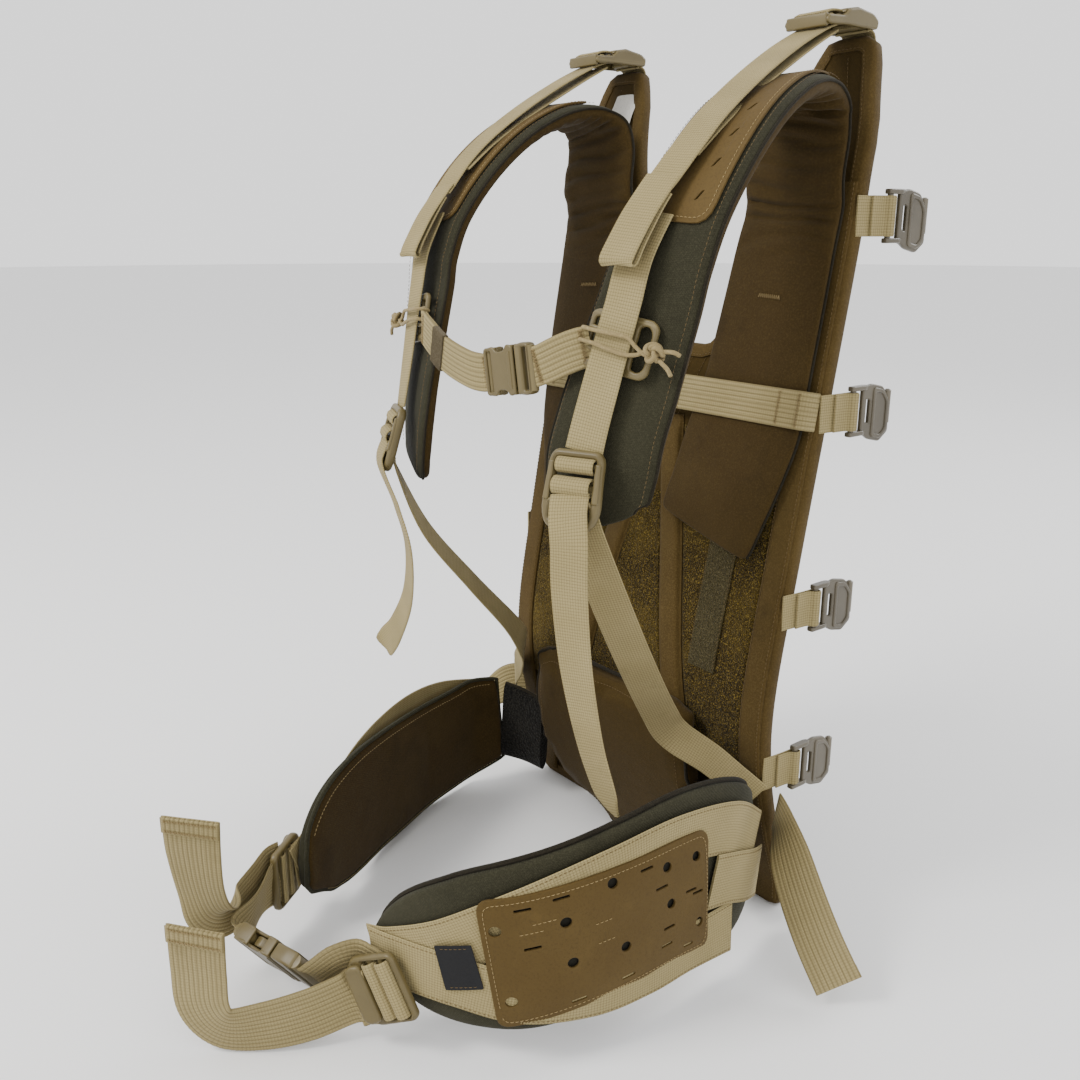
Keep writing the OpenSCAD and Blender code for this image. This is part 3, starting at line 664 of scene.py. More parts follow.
def flat_mesh(outline, holes, thick, bevel):
    curve = bpy.data.curves.new("flat", "CURVE")
    curve.dimensions, curve.fill_mode = "2D", "BOTH"
    bevel = min(bevel, thick * 0.49)
    curve.extrude, curve.bevel_depth, curve.bevel_resolution = thick / 2 - bevel, bevel, 2
    curve.offset = -bevel
    for loop in (outline, *holes):
        made = curve.splines.new("POLY")
        made.points.add(len(loop) - 1)
        for point, (x, y) in zip(made.points, loop):
            point.co = (x, y, 0, 1)
        made.use_cyclic_u = True
    obj = bpy.data.objects.new("flat", curve)
    bpy.context.scene.collection.objects.link(obj)
    bpy.context.view_layer.update()
    mesh = bpy.data.meshes.new_from_object(obj.evaluated_get(bpy.context.evaluated_depsgraph_get()))
    bpy.data.objects.remove(obj)
    return mesh


def plate(piece, place, outline, thick, holes=(), bevel=0.7, slot=0):
    """A bevelled plate in the plane of place's X and Y, centred on it in Z."""
    mesh = flat_mesh(outline, holes, thick, bevel)
    verts = [place @ v.co for v in mesh.vertices]
    piece.add(verts, [list(p.vertices) for p in mesh.polygons], slot)


def bent_plate(piece, outline, thick, holes, bend, bevel=0.3, slot=0, step=4.0):
    """A plate cut across at equal steps and then bent: bend turns (x, y, z) into a point."""
    work = bmesh.new()
    work.from_mesh(flat_mesh(outline, holes, thick, bevel))
    xs = [v.co.x for v in work.verts]
    x = min(xs) + step
    while x < max(xs):
        everything = work.verts[:] + work.edges[:] + work.faces[:]
        bmesh.ops.bisect_plane(work, geom=everything, plane_co=(x, 0, 0), plane_no=(1, 0, 0))
        x += step
    bmesh.ops.triangulate(work, faces=[f for f in work.faces if len(f.verts) > 4])
    work.verts.index_update()
    verts = [bend(*v.co) for v in work.verts]
    piece.add(verts, [[v.index for v in f.verts] for f in work.faces], slot)
    work.free()


def bar(piece, place, radius, length, slot=0, sides=14):
    """A round bar along place's X, with softened ends."""
    half = length / 2
    piece.tube([place @ Vector((x, 0, 0)) for x in (-half, -half + 0.4, half - 0.4, half)],
               radius, sides, slot, taper=True)


def turn(axis, degrees):
    return Matrix.Rotation(math.radians(degrees), 4, axis)


def shift(x, y, z):
    return Matrix.Translation((x, y, z))


def side_matrix(s):
    return Matrix.Diagonal((s, 1, 1, 1))


UPRIGHT = turn("X", 90)         # turns a plate's Y to +Z, and its Z to -Y


def wrap(piece, place, radius, width, start, end, slot):
    """Webbing wrapped round a bar along place's X; angles in degrees, 0 along Y, 90 along Z."""
    rows, sides = [], 16
    for k in range(sides + 1):
        t = math.radians(start + (end - start) * k / sides)
        rows.append([0, radius * math.cos(t), radius * math.sin(t), 1, 0, 0, width, THICK, 0, -THICK / 2])
    places = stations(rows)
    rings = []
    for i, s in enumerate(places):
        swell = 1.12 if i % 2 else 0.88
        rings.append([place @ s.at(a, 0.5 + (b - 0.5) * swell) for a, b in WEB])
    piece.loft(rings, abs(math.radians(end - start)) * radius / sides, [a * width for a, _ in WEB], slot)


# ---- Frame ----
def make_frame_shell():
    """Both covers and the sheet as one softened skin: brown in front, olive behind."""
    shell = remeshed("frame_shell", ["front_cover", "back_cover", "frame_sheet"], 2.0, 4)
    shell.data.materials.clear()
    for material in (BROWN, OLIVE):
        shell.data.materials.append(material)
    normals = [v.normal.copy() for v in shell.data.vertices]
    for v, n in zip(shell.data.vertices, normals):
        v.co += n * MM * 0.7 * noise.noise(v.co * 22)
    for face in shell.data.polygons:
        face.material_index = 0 if face.normal.y < 0.1 else 1
    shade(shell.data, 70)
    attach(shell, "frame", "front_cover", "back_cover", "frame_sheet", slot="brown_fabric")


def make_binding():
    """Tape folded over the frame's whole edge, with a row of stitching on each face."""
    piece = Piece("edge_binding", RAIL, DARK_THREAD)
    flat = [list(p) for p in frame_outline()]
    dense = []
    for a, b in zip(flat, flat[1:] + flat[:1]):
        count = max(1, round(math.dist(a, b) / 7))
        dense += [Vector(a).lerp(Vector(b), k / count) for k in range(count)]
    n = len(dense)
    front, back = D_FRONT, -D_FRONT
    section = [(8, front + 0.1), (8, front + 1.1), (1.5, front + 1.5), (-0.9, front + 0.5),
               (-1.7, front - 1.6), (-1.9, 0), (-1.7, back + 1.6), (-0.9, back - 0.5),
               (1.5, back - 1.5), (8, back - 1.1), (8, back - 0.1), (2, back + 0.6), (2, front - 0.6)]
    rings, front_line, back_line = [], [], []
    for i, p in enumerate(dense):
        along = (dense[(i + 1) % n] - dense[i - 1]).normalized()
        inward = Vector((-along[1], along[0]))

        def at(q, d):
            x, z = p + inward * q
            return on_frame(x, min(max(z, -1), 612), d)

        rings.append([at(q, d) for q, d in section])
        front_line.append(at(6.4, front + 1.25))
        back_line.append(at(6.4, back - 1.25))
    rings.append(rings[0])
    piece.loft(rings, 7.0, [2.4 * j for j in range(len(section))], caps=False)
    outs = [frame_out(min(max(p[1], 0), 610)) for p in dense]
    piece.stitches(front_line, outs, 1)
    piece.stitches(back_line, [-o for o in outs], 1)
    piece.store("frame", slot="tan_laminate", smooth=60)


RAIL_SECTION = [(-0.5, 0), (-0.49, 0.5), (-0.44, 0.85), (-0.3, 1.0), (0.3, 1.0), (0.44, 0.95),
                (0.5, 0.6), (0.5, 0)]
SLEEVE_SECTION = [(-0.5, 0), (-0.49, 0.22), (-0.43, 0.3), (-0.39, 0.85), (-0.34, 1.08), (0.34, 1.08),
                  (0.39, 0.85), (0.43, 0.3), (0.49, 0.22), (0.5, 0)]


def make_rails():
    """Bound rails along both long edges, a thick one in front and a thin one behind."""
    piece = Piece("edge_rails", RAIL, DARK_THREAD)
    for _, s in SIDES:
        for lift, width, thick, edge in ((D_FRONT + 1.0, 19, 2.4, 0.8), (-D_FRONT - 1.2, 14, -1.6, 0.8)):
            rows = [frame_row(s * (HALF_W - width / 2 - edge), z, lift, width, thick)
                    for z in range(6, 531, 15)]
            places = stations(even(rows, 8))
            piece.loft([[p.at(a, b) for a, b in RAIL_SECTION] for p in places], 8.0)
            for a in (-0.42, 0.42):
                line, outs = line_on(places, a, 1.0)
                piece.stitches(line, outs if thick > 0 else [-o for o in outs], 1)
    piece.store("frame", "edge_rails", slot="tan_laminate", smooth=50)


def stay_x(z):
    return 10 + (352 - z) / 240 * 52


def make_sleeves():
    """Raised sleeves over the two stays, open enough to clear them."""
    piece = Piece("stay_sleeves", RAIL, DARK_THREAD)
    for _, s in SIDES:
        rows = [frame_row(s * stay_x(z), z, D_FRONT + 0.1, 23, 4.8 if 118 < z < 346 else 1.5)
                for z in range(108, 358, 6)]
        places = stations(even(rows, 5))
        piece.loft([[p.at(a, b) for a, b in SLEEVE_SECTION] for p in places], 5.0)
        for a in (-0.45, 0.45):
            piece.stitches(*line_on(places, a, 0.24), 1)
    piece.store("frame", "stay_sleeves", slot="tan_laminate", smooth=50, subdivide=1)


def make_loop_field():
    """Loop pile: a fine grid whose points stand up at random."""
    piece = Piece("loop_field", LOOPS)
    parts = [(112, 348, lambda z, s=s: (s * 121, s * (stay_x(z) + 11.6))) for _, s in SIDES]
    parts.append((114, 296, lambda z: (-(stay_x(z) - 11.6), stay_x(z) - 11.6)))
    step = 1.7
    for low, high, span in parts:
        rows = round((high - low) / step)
        columns = max(4, round(abs(span(low)[1] - span(low)[0]) / step))
        verts, faces = [], []
        for i in range(rows + 1):
            z = low + (high - low) * i / rows
            a, b = span(z)
            for j in range(columns + 1):
                rim = i in (0, rows) or j in (0, columns)
                tall = 0.2 if rim else 1.2 + random.random() * 0.75
                wander = (0, 0) if rim else (random.uniform(-0.5, 0.5), random.uniform(-0.5, 0.5))
                x = a + (b - a) * j / columns
                verts.append(on_frame(x + wander[0], z + wander[1], D_FRONT + tall))
        for i in range(rows):
            for j in range(columns):
                k = i * (columns + 1) + j
                faces.append([k, k + 1, k + columns + 2, k + columns + 1])
        piece.add(verts, faces)
    piece.store("frame", "loop_field", slot="loop_fabric", smooth=80)


def make_hook_strips():
    """Two strips of hook tape on the loop field."""
    piece = Piece("hook_strips", HOOKS, DARK_THREAD)
    for _, s in SIDES:
        rows = [frame_row(s * (82 - (282 - z) * 0.025), z, D_FIELD + 0.6, 26, 1.1)
                for z in range(180, 285, 8)]
        places = strap(piece, rows, pitch=2.4, ribs=0.1)
        for a in (-0.46, 0.46):
            piece.stitches(*line_on(places, a, 1.0), 1, radius=0.22)
    piece.store("frame", "hook_strips", slot="hook_fabric")


def make_frame_seams():
    """Stitching below the notch and on the horns."""
    piece = Piece("frame_seams", DARK_THREAD)
    lines = []
    for _, s in SIDES:
        lines += [[(s * 33, 398), (s * 22, 372), (s * 13, 352)],
                  [(s * 20, 398), (s * 12, 378), (s * 7, 362)],
                  [(s * 66, 560), (s * 60, 500)], [(s * 120, 560), (s * 124, 510)],
                  [(s * 108, 594), (s * 122, 545)], [(s * 90, 594), (s * 80, 560), (s * 62, 500)]]
    for line in lines:
        points = [on_frame(x, z, D_FRONT + 0.2) for x, z in line]
        piece.stitches(points, [frame_out(z) for _, z in line], 0)
    piece.store("frame", slot="tan_laminate")


def make_torso_webbing():
    """Webbing across the frame, over both yoke panels, sewn down at its ends and middle."""
    piece = Piece("torso_webbing", RIBBED, THREAD)
    z, up = 371, on_frame(0, 378, 0) - on_frame(0, 364, 0)
    top = D_YOKE_TOP + 0.5
    route = [(139, D_FRONT + 2), (138.4, top - 6), (135.5, top - 1), (128, top), (80, top), (40, top - 0.4),
             (0, top - 1.5), (-40, top - 0.4), (-80, top), (-128, top), (-135.5, top - 1),
             (-138.4, top - 6), (-139, D_FRONT + 2)]
    rows = [[*on_frame(x, z, d), *up, NARROW, THICK] for x, d in route]
    places = strap(piece, rows)
    for x in (134, 118, 26, -26, -118, -134):
        piece.bartack(nearest(places, 0, x), 22)
    piece.store("frame", "torso_webbing", slot="khaki_webbing")


def make_care_label():
    """A blank folded label sewn to the far horn."""
    piece = Piece("care_label", WHITE)
    rows = []
    for z, lift, side in ((588, 0.6, 0), (580, 2.2, 0.4), (570, 4.2, 0.6), (559, 4.4, 0.2),
                          (549, 2.6, -0.6)):
        rows.append([*on_frame(-98 + side, z, D_FRONT + lift), 1, 0.12, 0, 24, 0.5])
    places = stations(even(rows, 2))
    section = [(-0.5, 0), (-0.25, -0.6), (0, -0.2), (0.25, 0.5), (0.5, 0), (0.5, 1), (0.25, 1.5),
               (0, 0.8), (-0.25, 0.4), (-0.5, 1)]
    piece.loft([[s.at(a, b) for a, b in reversed(section)] for s in places])
    piece.store("frame", "care_label", slot="white_label", subdivide=1)


# ---- Side compression buckles ----
BUCKLE_Z = (496, 371, 238, 120)
STUB_X, STUB_L, BAR_R, LOOP_R = 146.6, 22, 2.0, 2.4


def make_side_webbing(side, s):
    """A short loop round each side buckle's bar, sewn to itself beside the rail."""
    piece = Piece(f"side_webbing_{side}", KHAKI, THREAD)
    for z in BUCKLE_Z:
        y = spine_at(z)[0] + STUB_L
        r = LOOP_R + 0.9
        route = [(141.5, y - 27), (142.2, y - 20), (143, y - 10), (STUB_X - r, y - 3)]
        route += [(STUB_X + r * math.cos(t), y + r * math.sin(t))
                  for t in (math.radians(a) for a in (180, 135, 90, 45, 0, -45, -75))]
        route += [(145.6, y - 5.4), (145.0, y - 10), (144.6, y - 16)]
        rows = mirrored([[x, v, z, 0, 0, 1, NARROW, 1.5, 0, -0.75] for x, v in route], s)
        places = strap(piece, rows, pitch=1.8)
        for v in (y - 7, y - 14):
            k = min(places, key=lambda p: abs(p.middle.y - v) + abs(p.middle.x * s - 145))
            piece.bartack(k, 22, b=-0.05)
    piece.store("frame", f"side_webbing_{side}", slot="khaki_webbing")


def make_side_buckle(side, s, k):
    """A ladder bar between two ears, and a six-sided catch plate with a raised rim."""
    name = f"side_buckle_{side}_{k + 1}"
    piece = Piece(name, TAUPE)
    z = BUCKLE_Z[k]
    place = side_matrix(s) @ shift(STUB_X, spine_at(z)[0] + STUB_L, z)
    bar(piece, place @ turn("Y", 90), BAR_R, 29)
    for e in (-1, 1):
        ear = rounded([(-3.4, -2.6), (10.4, -2.8), (14, -1.6), (14, 1.6), (10.4, 2.8), (-3.4, 2.6)], 1.6)
        plate(piece, place @ shift(0, 0, e * 15.3) @ turn("Z", 90), ear, 3.2, bevel=0.8)
    flat = place @ Matrix(((0, 0, 1, 0), (1, 0, 0, 0), (-0.22, 1, 0, 2.4), (0, 0, 0, 1)))
    h = 19
    outline = rounded(both_halves([(9, -16.8), (14, -17), (19, -h), (31, -h), (40, -h + 8)]), 2.2)
    slot_hole = rounded(box_outline(13.5, 17.5, -8, 8), 1.2)
    plate(piece, flat, outline, 3.2, [slot_hole], bevel=1.0)
    rim = rounded(both_halves([(20, -h + 2), (30.5, -h + 2), (38, -h + 9)]), 3)
    inner = rounded(both_halves([(22.5, -h + 5), (30, -h + 5), (35, -h + 10)]), 2)
    plate(piece, flat, rim, 5.2, [inner], bevel=0.8)
    piece.tube([place @ Vector((0, 38.2, e)) for e in (-12, -11, 11, 12)], 2.5, 12, taper=True)
    piece.store(name, name, slot="side_plastic", smooth=35)


# ---- Shoulder harness ----
def turned(x, y, z, phi, w, t):
    return [x, y, z, math.cos(math.radians(phi)), math.sin(math.radians(phi)), 0, w, t, 0, -t]


PAD_ROWS = [turned(*r) for r in (
    (110, -157, 315, 22, 40, 9), (107, -160, 327, 22, 64, 12), (106, -159.5, 350, 22, 74, 14),
    (108, -155, 375, 20, 74, 14), (111.4, -148.7, 400, 18, 74, 14), (114.7, -142.6, 424, 15, 73, 14),
    (118, -136.7, 447, 12, 72, 14), (121, -131, 470, 10, 70, 14), (122.5, -118, 500, 7, 70, 14),
    (121, -92, 533, 4, 70, 14), (117, -62, 559, 2, 70, 14), (112, -30, 575, 0, 70, 14),
    (106, -2, 577, 0, 70, 13), (101, 18, 566, 0, 72, 11), (99, 22.5, 546, 0, 75, 9),
    (98, 18, 520, 0, 79, 8))]
YOKE_SPANS = ((498, 57, 136), (470, 53, 135.4), (440, 50, 135.4), (400, 46, 135.2), (384, 43, 135),
              (371, 40, 134.8), (358, 37.5, 134.6), (340, 34, 131), (310, 28, 122.5), (285, 23.5, 115.5),
              (276, 24.5, 110))


STRAP_STEP, FOLD = 2.4, 13     # rings along the strap, and the folds across its lining


def yoke_rows():
    rows = []
    for z, a, b in YOKE_SPANS:
        lift = 3.0 if z < 300 else 0.0
        pinch = -1.2 if 355 < z < 390 else 0.6
        thick = D_YOKE_TOP - D_YOKE + pinch
        p = on_frame((a + b) / 2, z, D_YOKE + lift * 0.4)
        rows.append([*p, 1, 0, 0, b - a, thick, 0, -thick])
    return rows


def crease(obj, places, section, s):
    """Folds across the lining over the shoulder, and the hollow that the sternum keeper slides in."""
    centre, keeper, count = Vector((100 * s, 20, 536)), Vector((106 * s, -150, 434)), len(section)
    for i, place in enumerate(places):
        hollow = 2.6 * math.exp(-((place.middle - keeper).length / 44) ** 4)
        for j, (a, b) in enumerate(section):
            if b > 0.5 and hollow > 0.02:
                obj.data.vertices[i * count + j].co -= place.out * (hollow * (1 - abs(2 * a) ** 6) * MM)
        near = math.exp(-((place.middle - centre).length / 64) ** 6)
        if near < 0.02:
            continue
        for j, (a, b) in enumerate(section):
            if b > 0.5:
                continue
            wander = 0.9 * noise.noise(Vector((a * 1.7, i * 0.055, 3.1 * s))) + 0.2 * a
            bulge = abs(math.sin(math.pi * (i * STRAP_STEP / FOLD + wander))) ** 0.5
            depth = 7.5 * (0.8 + 0.7 * noise.noise(Vector((a * 2.2, i * 0.12, 7.7))))
            lift = near * depth * (bulge - 0.62) * (1 - abs(2 * a) ** 8)
            obj.data.vertices[i * count + j].co -= place.out * (lift * MM)


def make_shoulder_strap(side, s):
    """Pad and yoke in one: olive face, brown lining, and black piping along both edges."""
    rows = mirrored(PAD_ROWS + yoke_rows(), s)
    places = stations(even(rows, STRAP_STEP))
    section = round_section(30, 0.55)
    count = len(places) - 1
    obj, pins = soft_shell(f"shoulder_strap_{side}", places, section, STRAP_STEP, 0.62, 0.47)
    seams = Piece(f"strap_piping_{side}", BLACK, DARK_THREAD, THREAD)
    for edge in (-1, 1):
        line, _ = line_on(places, edge * 0.495, 0.64, 1, -1)
        seams.tube(line, 0.95, 8)
        thread, outs = line_on(places, edge * 0.445, 0.97, 4, round(count * 0.52))
        seams.stitches(thread, outs, 1, radius=0.22)
    for i in (0.74, 0.86):
        p = places[round(count * i)]
        seams.bartack(p, 18, 2, a=0.02, b=-0.22)
    tip = places[1]
    seams.tube([tip.at(a, 0.6) for a in (-0.5, -0.25, 0, 0.25, 0.5)], 0.95, 8)
    seams.store("frame", slot="olive_fabric")
    return (obj, 5.0, 3.0, pins), obj, lambda: crease(obj, places, section, s)


PATCH_FIRST, PATCH_LAST = 24, 35


def make_strap_patch(side, s):
    """The laminated patch on top of the strap, with slits and a stitched edge."""
    path = spline(mirrored(PAD_ROWS, s), 3)
    places = stations(even(path[PATCH_FIRST - 1:PATCH_LAST + 2], 2))
    length = 2.0 * (len(places) - 1)
    piece = Piece(f"strap_patch_{side}", LAMINATE, THREAD)

    def bend(x, y, z):
        k = min(max(x / 2, 0), len(places) - 1.001)
        i, f = int(k), k - int(k)
        a, b = places[i], places[i + 1]
        dome = 1.4 * (1 - (y / 36) ** 2)
        return (a.middle.lerp(b.middle, f) + a.across.lerp(b.across, f) * y
                + a.out.lerp(b.out, f) * (a.thick + dome + z))

    outline = rounded([(3, -29), (length - 3, -27), (length - 3, 27), (3, 29)], [13, 4, 4, 13])
    slits = [rounded([(x, e * 13), (x + 6, e * 15.5), (x + 7, e * 17.5), (x + 1, e * 15)][::e], 0.6)
             for x in (16, 38, 60, 82) for e in (1, -1)]
    bent_plate(piece, outline, 1.4, slits, bend, step=3.0)
    corners = [(6, -26), (length - 6, -24), (length - 6, 24), (6, 26)]
    piece.stitches(*along_edge(corners, [10, 3, 3, 10], bend, 0.75), 1, radius=0.26)
    return piece.store("frame", slot="tan_laminate", smooth=50)


SHOULDER_POINTS = [(116.2, -126, 498), (114, -140, 473), (112.2, -147.2, 447), (109.8, -153.2, 424),
                   (107.4, -159.2, 400), (105.4, -164.8, 378), (104.4, -168.6, 362.1)]
LOCK_BAR, LOCK_TURN, LOCK_LEAN = (103.5, -172.2, 354), 22, 17
LIFTER_BAR = (107, 51, 612)
LIFTER_POINTS = [(113.4, -122.5, 511), (113.8, -117.6, 516), (115.3, -100.5, 534.5), (114, -80, 552.5),
                 (111.5, -48, 574.5), (109, -15, 593.5), (108, 10, 605.5), (107.6, 20, 609)]


def webbing_row(p, phi):
    """A row whose across lies level, phi degrees round from +X."""
    return [*p, math.cos(math.radians(phi)), math.sin(math.radians(phi)), 0, NARROW, THICK]


def lock_place(s):
    return side_matrix(s) @ shift(*LOCK_BAR) @ turn("Z", LOCK_TURN) @ turn("X", -LOCK_LEAN)


def make_shoulder_webbing(side, s):
    """Webbing down the strap, turned round the ladder lock's upper bar."""
    piece = Piece(f"shoulder_webbing_{side}", KHAKI, THREAD)
    rows = mirrored([webbing_row(p, 8 + 2.3 * i) for i, p in enumerate(SHOULDER_POINTS)], s)
    places = strap(piece, rows)
    wrap(piece, lock_place(s) @ shift(0, -0.9, 0), 4.2, NARROW, -290, -5, 0)
    for z in (394, 391):
        piece.bartack(nearest(places, 2, z), 21)
    piece.store("frame", f"shoulder_webbing_{side}", slot="khaki_webbing")


def make_lifter_webbing(side, s):
    """From the strap up to the horn's buckle, with a folded pull loop at its lower end."""
    piece = Piece(f"lifter_webbing_{side}", KHAKI, THREAD)
    rows = mirrored([webbing_row(p, 4) for p in LIFTER_POINTS], s)
    places = strap(piece, rows)
    under = [(114, -104, 528.5), (113.4, -80, 547.5), (111.2, -50, 567), (109, -20, 584),
             (107.8, 4, 597), (107.4, 22, 606)]
    strap(piece, mirrored([webbing_row(p, 4) for p in under], s))
    loop = [(113.6, -119, 518.5), (113.5, -124.6, 512.5), (113.2, -137, 498), (112.6, -146.5, 484),
            (112.2, -152, 475), (112.2, -153.2, 471), (112.4, -151.4, 468.6), (112.6, -148.4, 470.4),
            (112.8, -143.2, 480), (113.2, -131.5, 498), (113.6, -124, 508)]
    places = strap(piece, mirrored([webbing_row(p, 8) for p in loop], s))
    for z in (508, 505):
        piece.bartack(nearest(places[:len(places) // 2], 2, z), 22)
    obj = piece.store(None, f"lifter_webbing_{side}", slot="khaki_webbing")
    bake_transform(obj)


def make_lifter_anchor(side, s):
    """Fabric sewn over the horn's tip, looped round the buckle's rear bar."""
    piece = Piece(f"lifter_anchor_{side}", RAIL, KHAKI, THREAD)
    place = side_matrix(s) @ shift(*LIFTER_BAR)
    wrap(piece, place, 3.2, NARROW, -80, 200, 1)
    route = [(54, 609.3), (58.5, 607.5), (60.5, 602), (61, 594), (60, 586)]
    rows = mirrored([[107, y, z, 1, 0, 0, NARROW, THICK] for y, z in route], s)
    places = strap(piece, rows, slot=1)
    piece.bartack(places[-3], 21, 2)
    return piece.store("frame", slot="tan_plastic")


def make_lifter_buckle(side, s):
    """Two cheeks, a ladder of bars with webbing over it, and a smooth curved cover."""
    name = f"lifter_buckle_{side}"
    piece = Piece(name, TAN, KHAKI)
    place = side_matrix(s) @ shift(*LIFTER_BAR)
    profile = rounded([(5, -2.6), (6, 2.4), (0, 6.4), (-14, 8.4), (-24, 6.8), (-28, 2.8), (-44, 1.8),
                       (-45.5, -1.5), (-43, -3.6), (-25, -2.6), (-8, -2.8)], 1.8)
    sideways = Matrix(((0, 0, 1, 0), (1, 0, 0, 0), (0, 1, 0, 0), (0, 0, 0, 1)))
    for e in (-1, 1):
        plate(piece, place @ shift(e * 15.4, 0, 0) @ sideways, profile, 3.6, bevel=1.2)
    cover = rounded([(4.5, 3), (0, 6.6), (-14, 9), (-26, 7), (-27, 4.6), (-14, 6.4), (0, 4.6),
                     (3, 1.5)], 0.8)
    plate(piece, place @ sideways, cover, 31, bevel=0.7)
    block = rounded([(5.6, -1.6), (6.2, 3), (1.5, 6.2), (-1.5, 5), (1.5, 1)], 0.8)
    plate(piece, place @ sideways, block, 33, bevel=0.8)
    window = rounded(box_outline(-4.2, 4.2, -1.9, 1.9), 1.2)
    frame_ring = rounded(box_outline(-6.2, 6.2, -3.4, 3.4), 1.6)
    plate(piece, place @ shift(0, 4.1, 5.5) @ turn("X", -52), frame_ring, 2.4, [window], bevel=0.6)
    bar(piece, place, BAR_R, 29)
    for y in (-29, -36):
        bar(piece, place @ shift(0, y, 0), 1.7, 29)
    lip = rounded([(-45.6, -4.6), (-45.6, 2.6), (-42.6, 3), (-41.6, -1), (-42.4, -4.8)], 1.2)
    plate(piece, place @ sideways, lip, 31, bevel=0.9)
    wrap(piece, place @ shift(0, -36, 0.2), 2.9, NARROW, 200, -20, 1)
    wrap(piece, place @ shift(0, -29, 0.2), 2.9, NARROW, 200, -40, 1)
    rows = [[0, y, z, 1, 0, 0, NARROW, THICK]
            for y, z in ((-41, 2.6), (-37, 4.4), (-31, 5.2), (-25, 5.0), (-20, 4.6))]
    rings = [[place @ q.at(a, b) for a, b in WEB] for q in stations(even(rows, 1))]
    piece.loft(rings, 1.0, [a * NARROW for a, _ in WEB], 1)
    piece.store(name, name, slot="tan_plastic", smooth=35)


def make_ladder_lock(side, s):
    """A thick open frame with a grip plate below; webbing turns over both of its bars."""
    name = f"ladder_lock_{side}"
    piece = Piece(name, TAN, KHAKI)
    place = lock_place(s)
    flat = place @ UPRIGHT
    outline = rounded([(-14.5, 9.4), (14.5, 9.4), (18, 4.5), (18.4, -12), (19.6, -27), (15, -38.5),
                       (-15, -38.5), (-19.6, -27), (-18.4, -12), (-18, 4.5)],
                      [5, 5, 5, 7, 7, 7, 7, 7, 7, 5])
    opening = rounded(box_outline(-13.3, 13.3, -20.6, 4.4), 2)
    teeth = [rounded([(-12.5, -32), (-7.4, -32), (-4.4, -25.4), (-12.5, -25.4)], 1.2),
             rounded([(12.5, -32), (12.5, -25.4), (4.4, -25.4), (9.4, -32)], 1.2), circle(0, -33.4, 2.2)]
    plate(piece, flat, outline, 6.6, [opening, *teeth], bevel=2.4)
    lip = rounded([(-14, -20.4), (14, -20.4), (15, -23.8), (-15, -23.8)], 1.2)
    plate(piece, flat @ shift(0, 0, 3.2), lip, 3.2, bevel=1.2)
    for e in (-1, 1):
        cheek = rounded([(e * 13.6, 2), (e * 17.2, 2), (e * 18.4, -22), (e * 14.2, -22)][::e], 1.2)
        plate(piece, flat @ shift(0, 0, 3.0), cheek, 2.6, bevel=1.1)
    bar(piece, place, BAR_R, 28.4)
    bar(piece, place @ shift(0, 0, -13), 2.5, 28.4)
    wrap(piece, place @ shift(0, -1.6, -12.6), 5.2, NARROW, 20, 340, 1)
    piece.store(name, name, slot="tan_plastic", smooth=35)


LOWER_LEFT = [(107, -177, 340, 0.93, 0.36, 0), (108, -176, 331, 0.93, 0.36, 0),
              (109.5, -172, 314, 0.85, 0.5, 0), (106, -150, 270, 0.72, 0.70, 0),
              (98, -116, 212, 0.68, 0.72, 0.1), (88, -82, 162, 0.62, 0.70, 0.3),
              (89, -67, 141, 0.35, 0.45, 0.8), (112, -54, 127, 0.1, 0.1, 1),
              (130, -45, 114, 0, 0, 1), (141, -38, 104, 0, 0, 1)]
TAIL_LEFT = [(107, -181, 339, 0.93, 0.36, 0), (111, -186, 328, 0.93, 0.36, 0),
             (117, -190, 310, 0.93, 0.36, 0), (118, -190, 280, 0.93, 0.33, 0),
             (122, -188, 235, 0.96, 0.2, 0), (130, -184, 190, 1, 0.05, 0), (139, -180, 160, 1, -0.05, 0)]
LOWER_RIGHT = [(-107, -177, 340, 0.93, -0.36, 0), (-107.6, -176, 330, 0.93, -0.36, 0),
               (-108, -171, 312, 0.85, -0.5, 0), (-104, -150, 265, 0.72, -0.7, 0),
               (-99, -112, 216, 0.68, -0.72, -0.1), (-94, -79, 176, 0.62, -0.7, -0.3),
               (-97, -62, 152, 0.35, -0.45, -0.8), (-114, -52, 132, 0.1, -0.1, -1),
               (-130, -45, 115, 0, 0, -1), (-141, -38, 104, 0, 0, -1)]
TAIL_RIGHT = [(-107, -181, 339, 0.93, -0.36, 0), (-106, -187, 322, 0.93, -0.36, 0),
              (-86, -186, 292, 0.93, -0.36, 0), (-75, -184, 262, 0.93, -0.36, 0),
              (-80, -183, 225, 0.96, -0.3, 0), (-101, -182, 192, 1, -0.2, 0), (-118, -181, 176, 1, -0.1, 0)]


def make_lower_webbing(side, s):
    """From the frame's foot up to the ladder lock, and its loose end with a pointed tip."""
    piece = Piece(f"lower_webbing_{side}", KHAKI, THREAD)
    route, tail, ends = LOWER_LEFT, TAIL_LEFT, [(142, -179.3, 150), (144.5, -178.8, 143)]
    if s < 0:
        route, tail, ends = LOWER_RIGHT, TAIL_RIGHT, [(-122, -181, 172), (-126, -181, 168)]
    strap(piece, [[*p, NARROW, THICK] for p in route])
    tail = [[*p, NARROW, THICK, 0, 0] for p in tail]
    tail += [[*p, 1, -0.05 * s, 0, w, 1.6, du * s, 0] for p, w, du in zip(ends, (16, 3), (3, 8))]
    strap(piece, tail)
    obj = piece.store(None, f"lower_webbing_{side}", slot="khaki_webbing")
    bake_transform(obj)


# ---- Sternum strap ----
KEEPER_AT, KEEPER_TURN = (110.7, -147, 424), (-12.5, 9, 15)


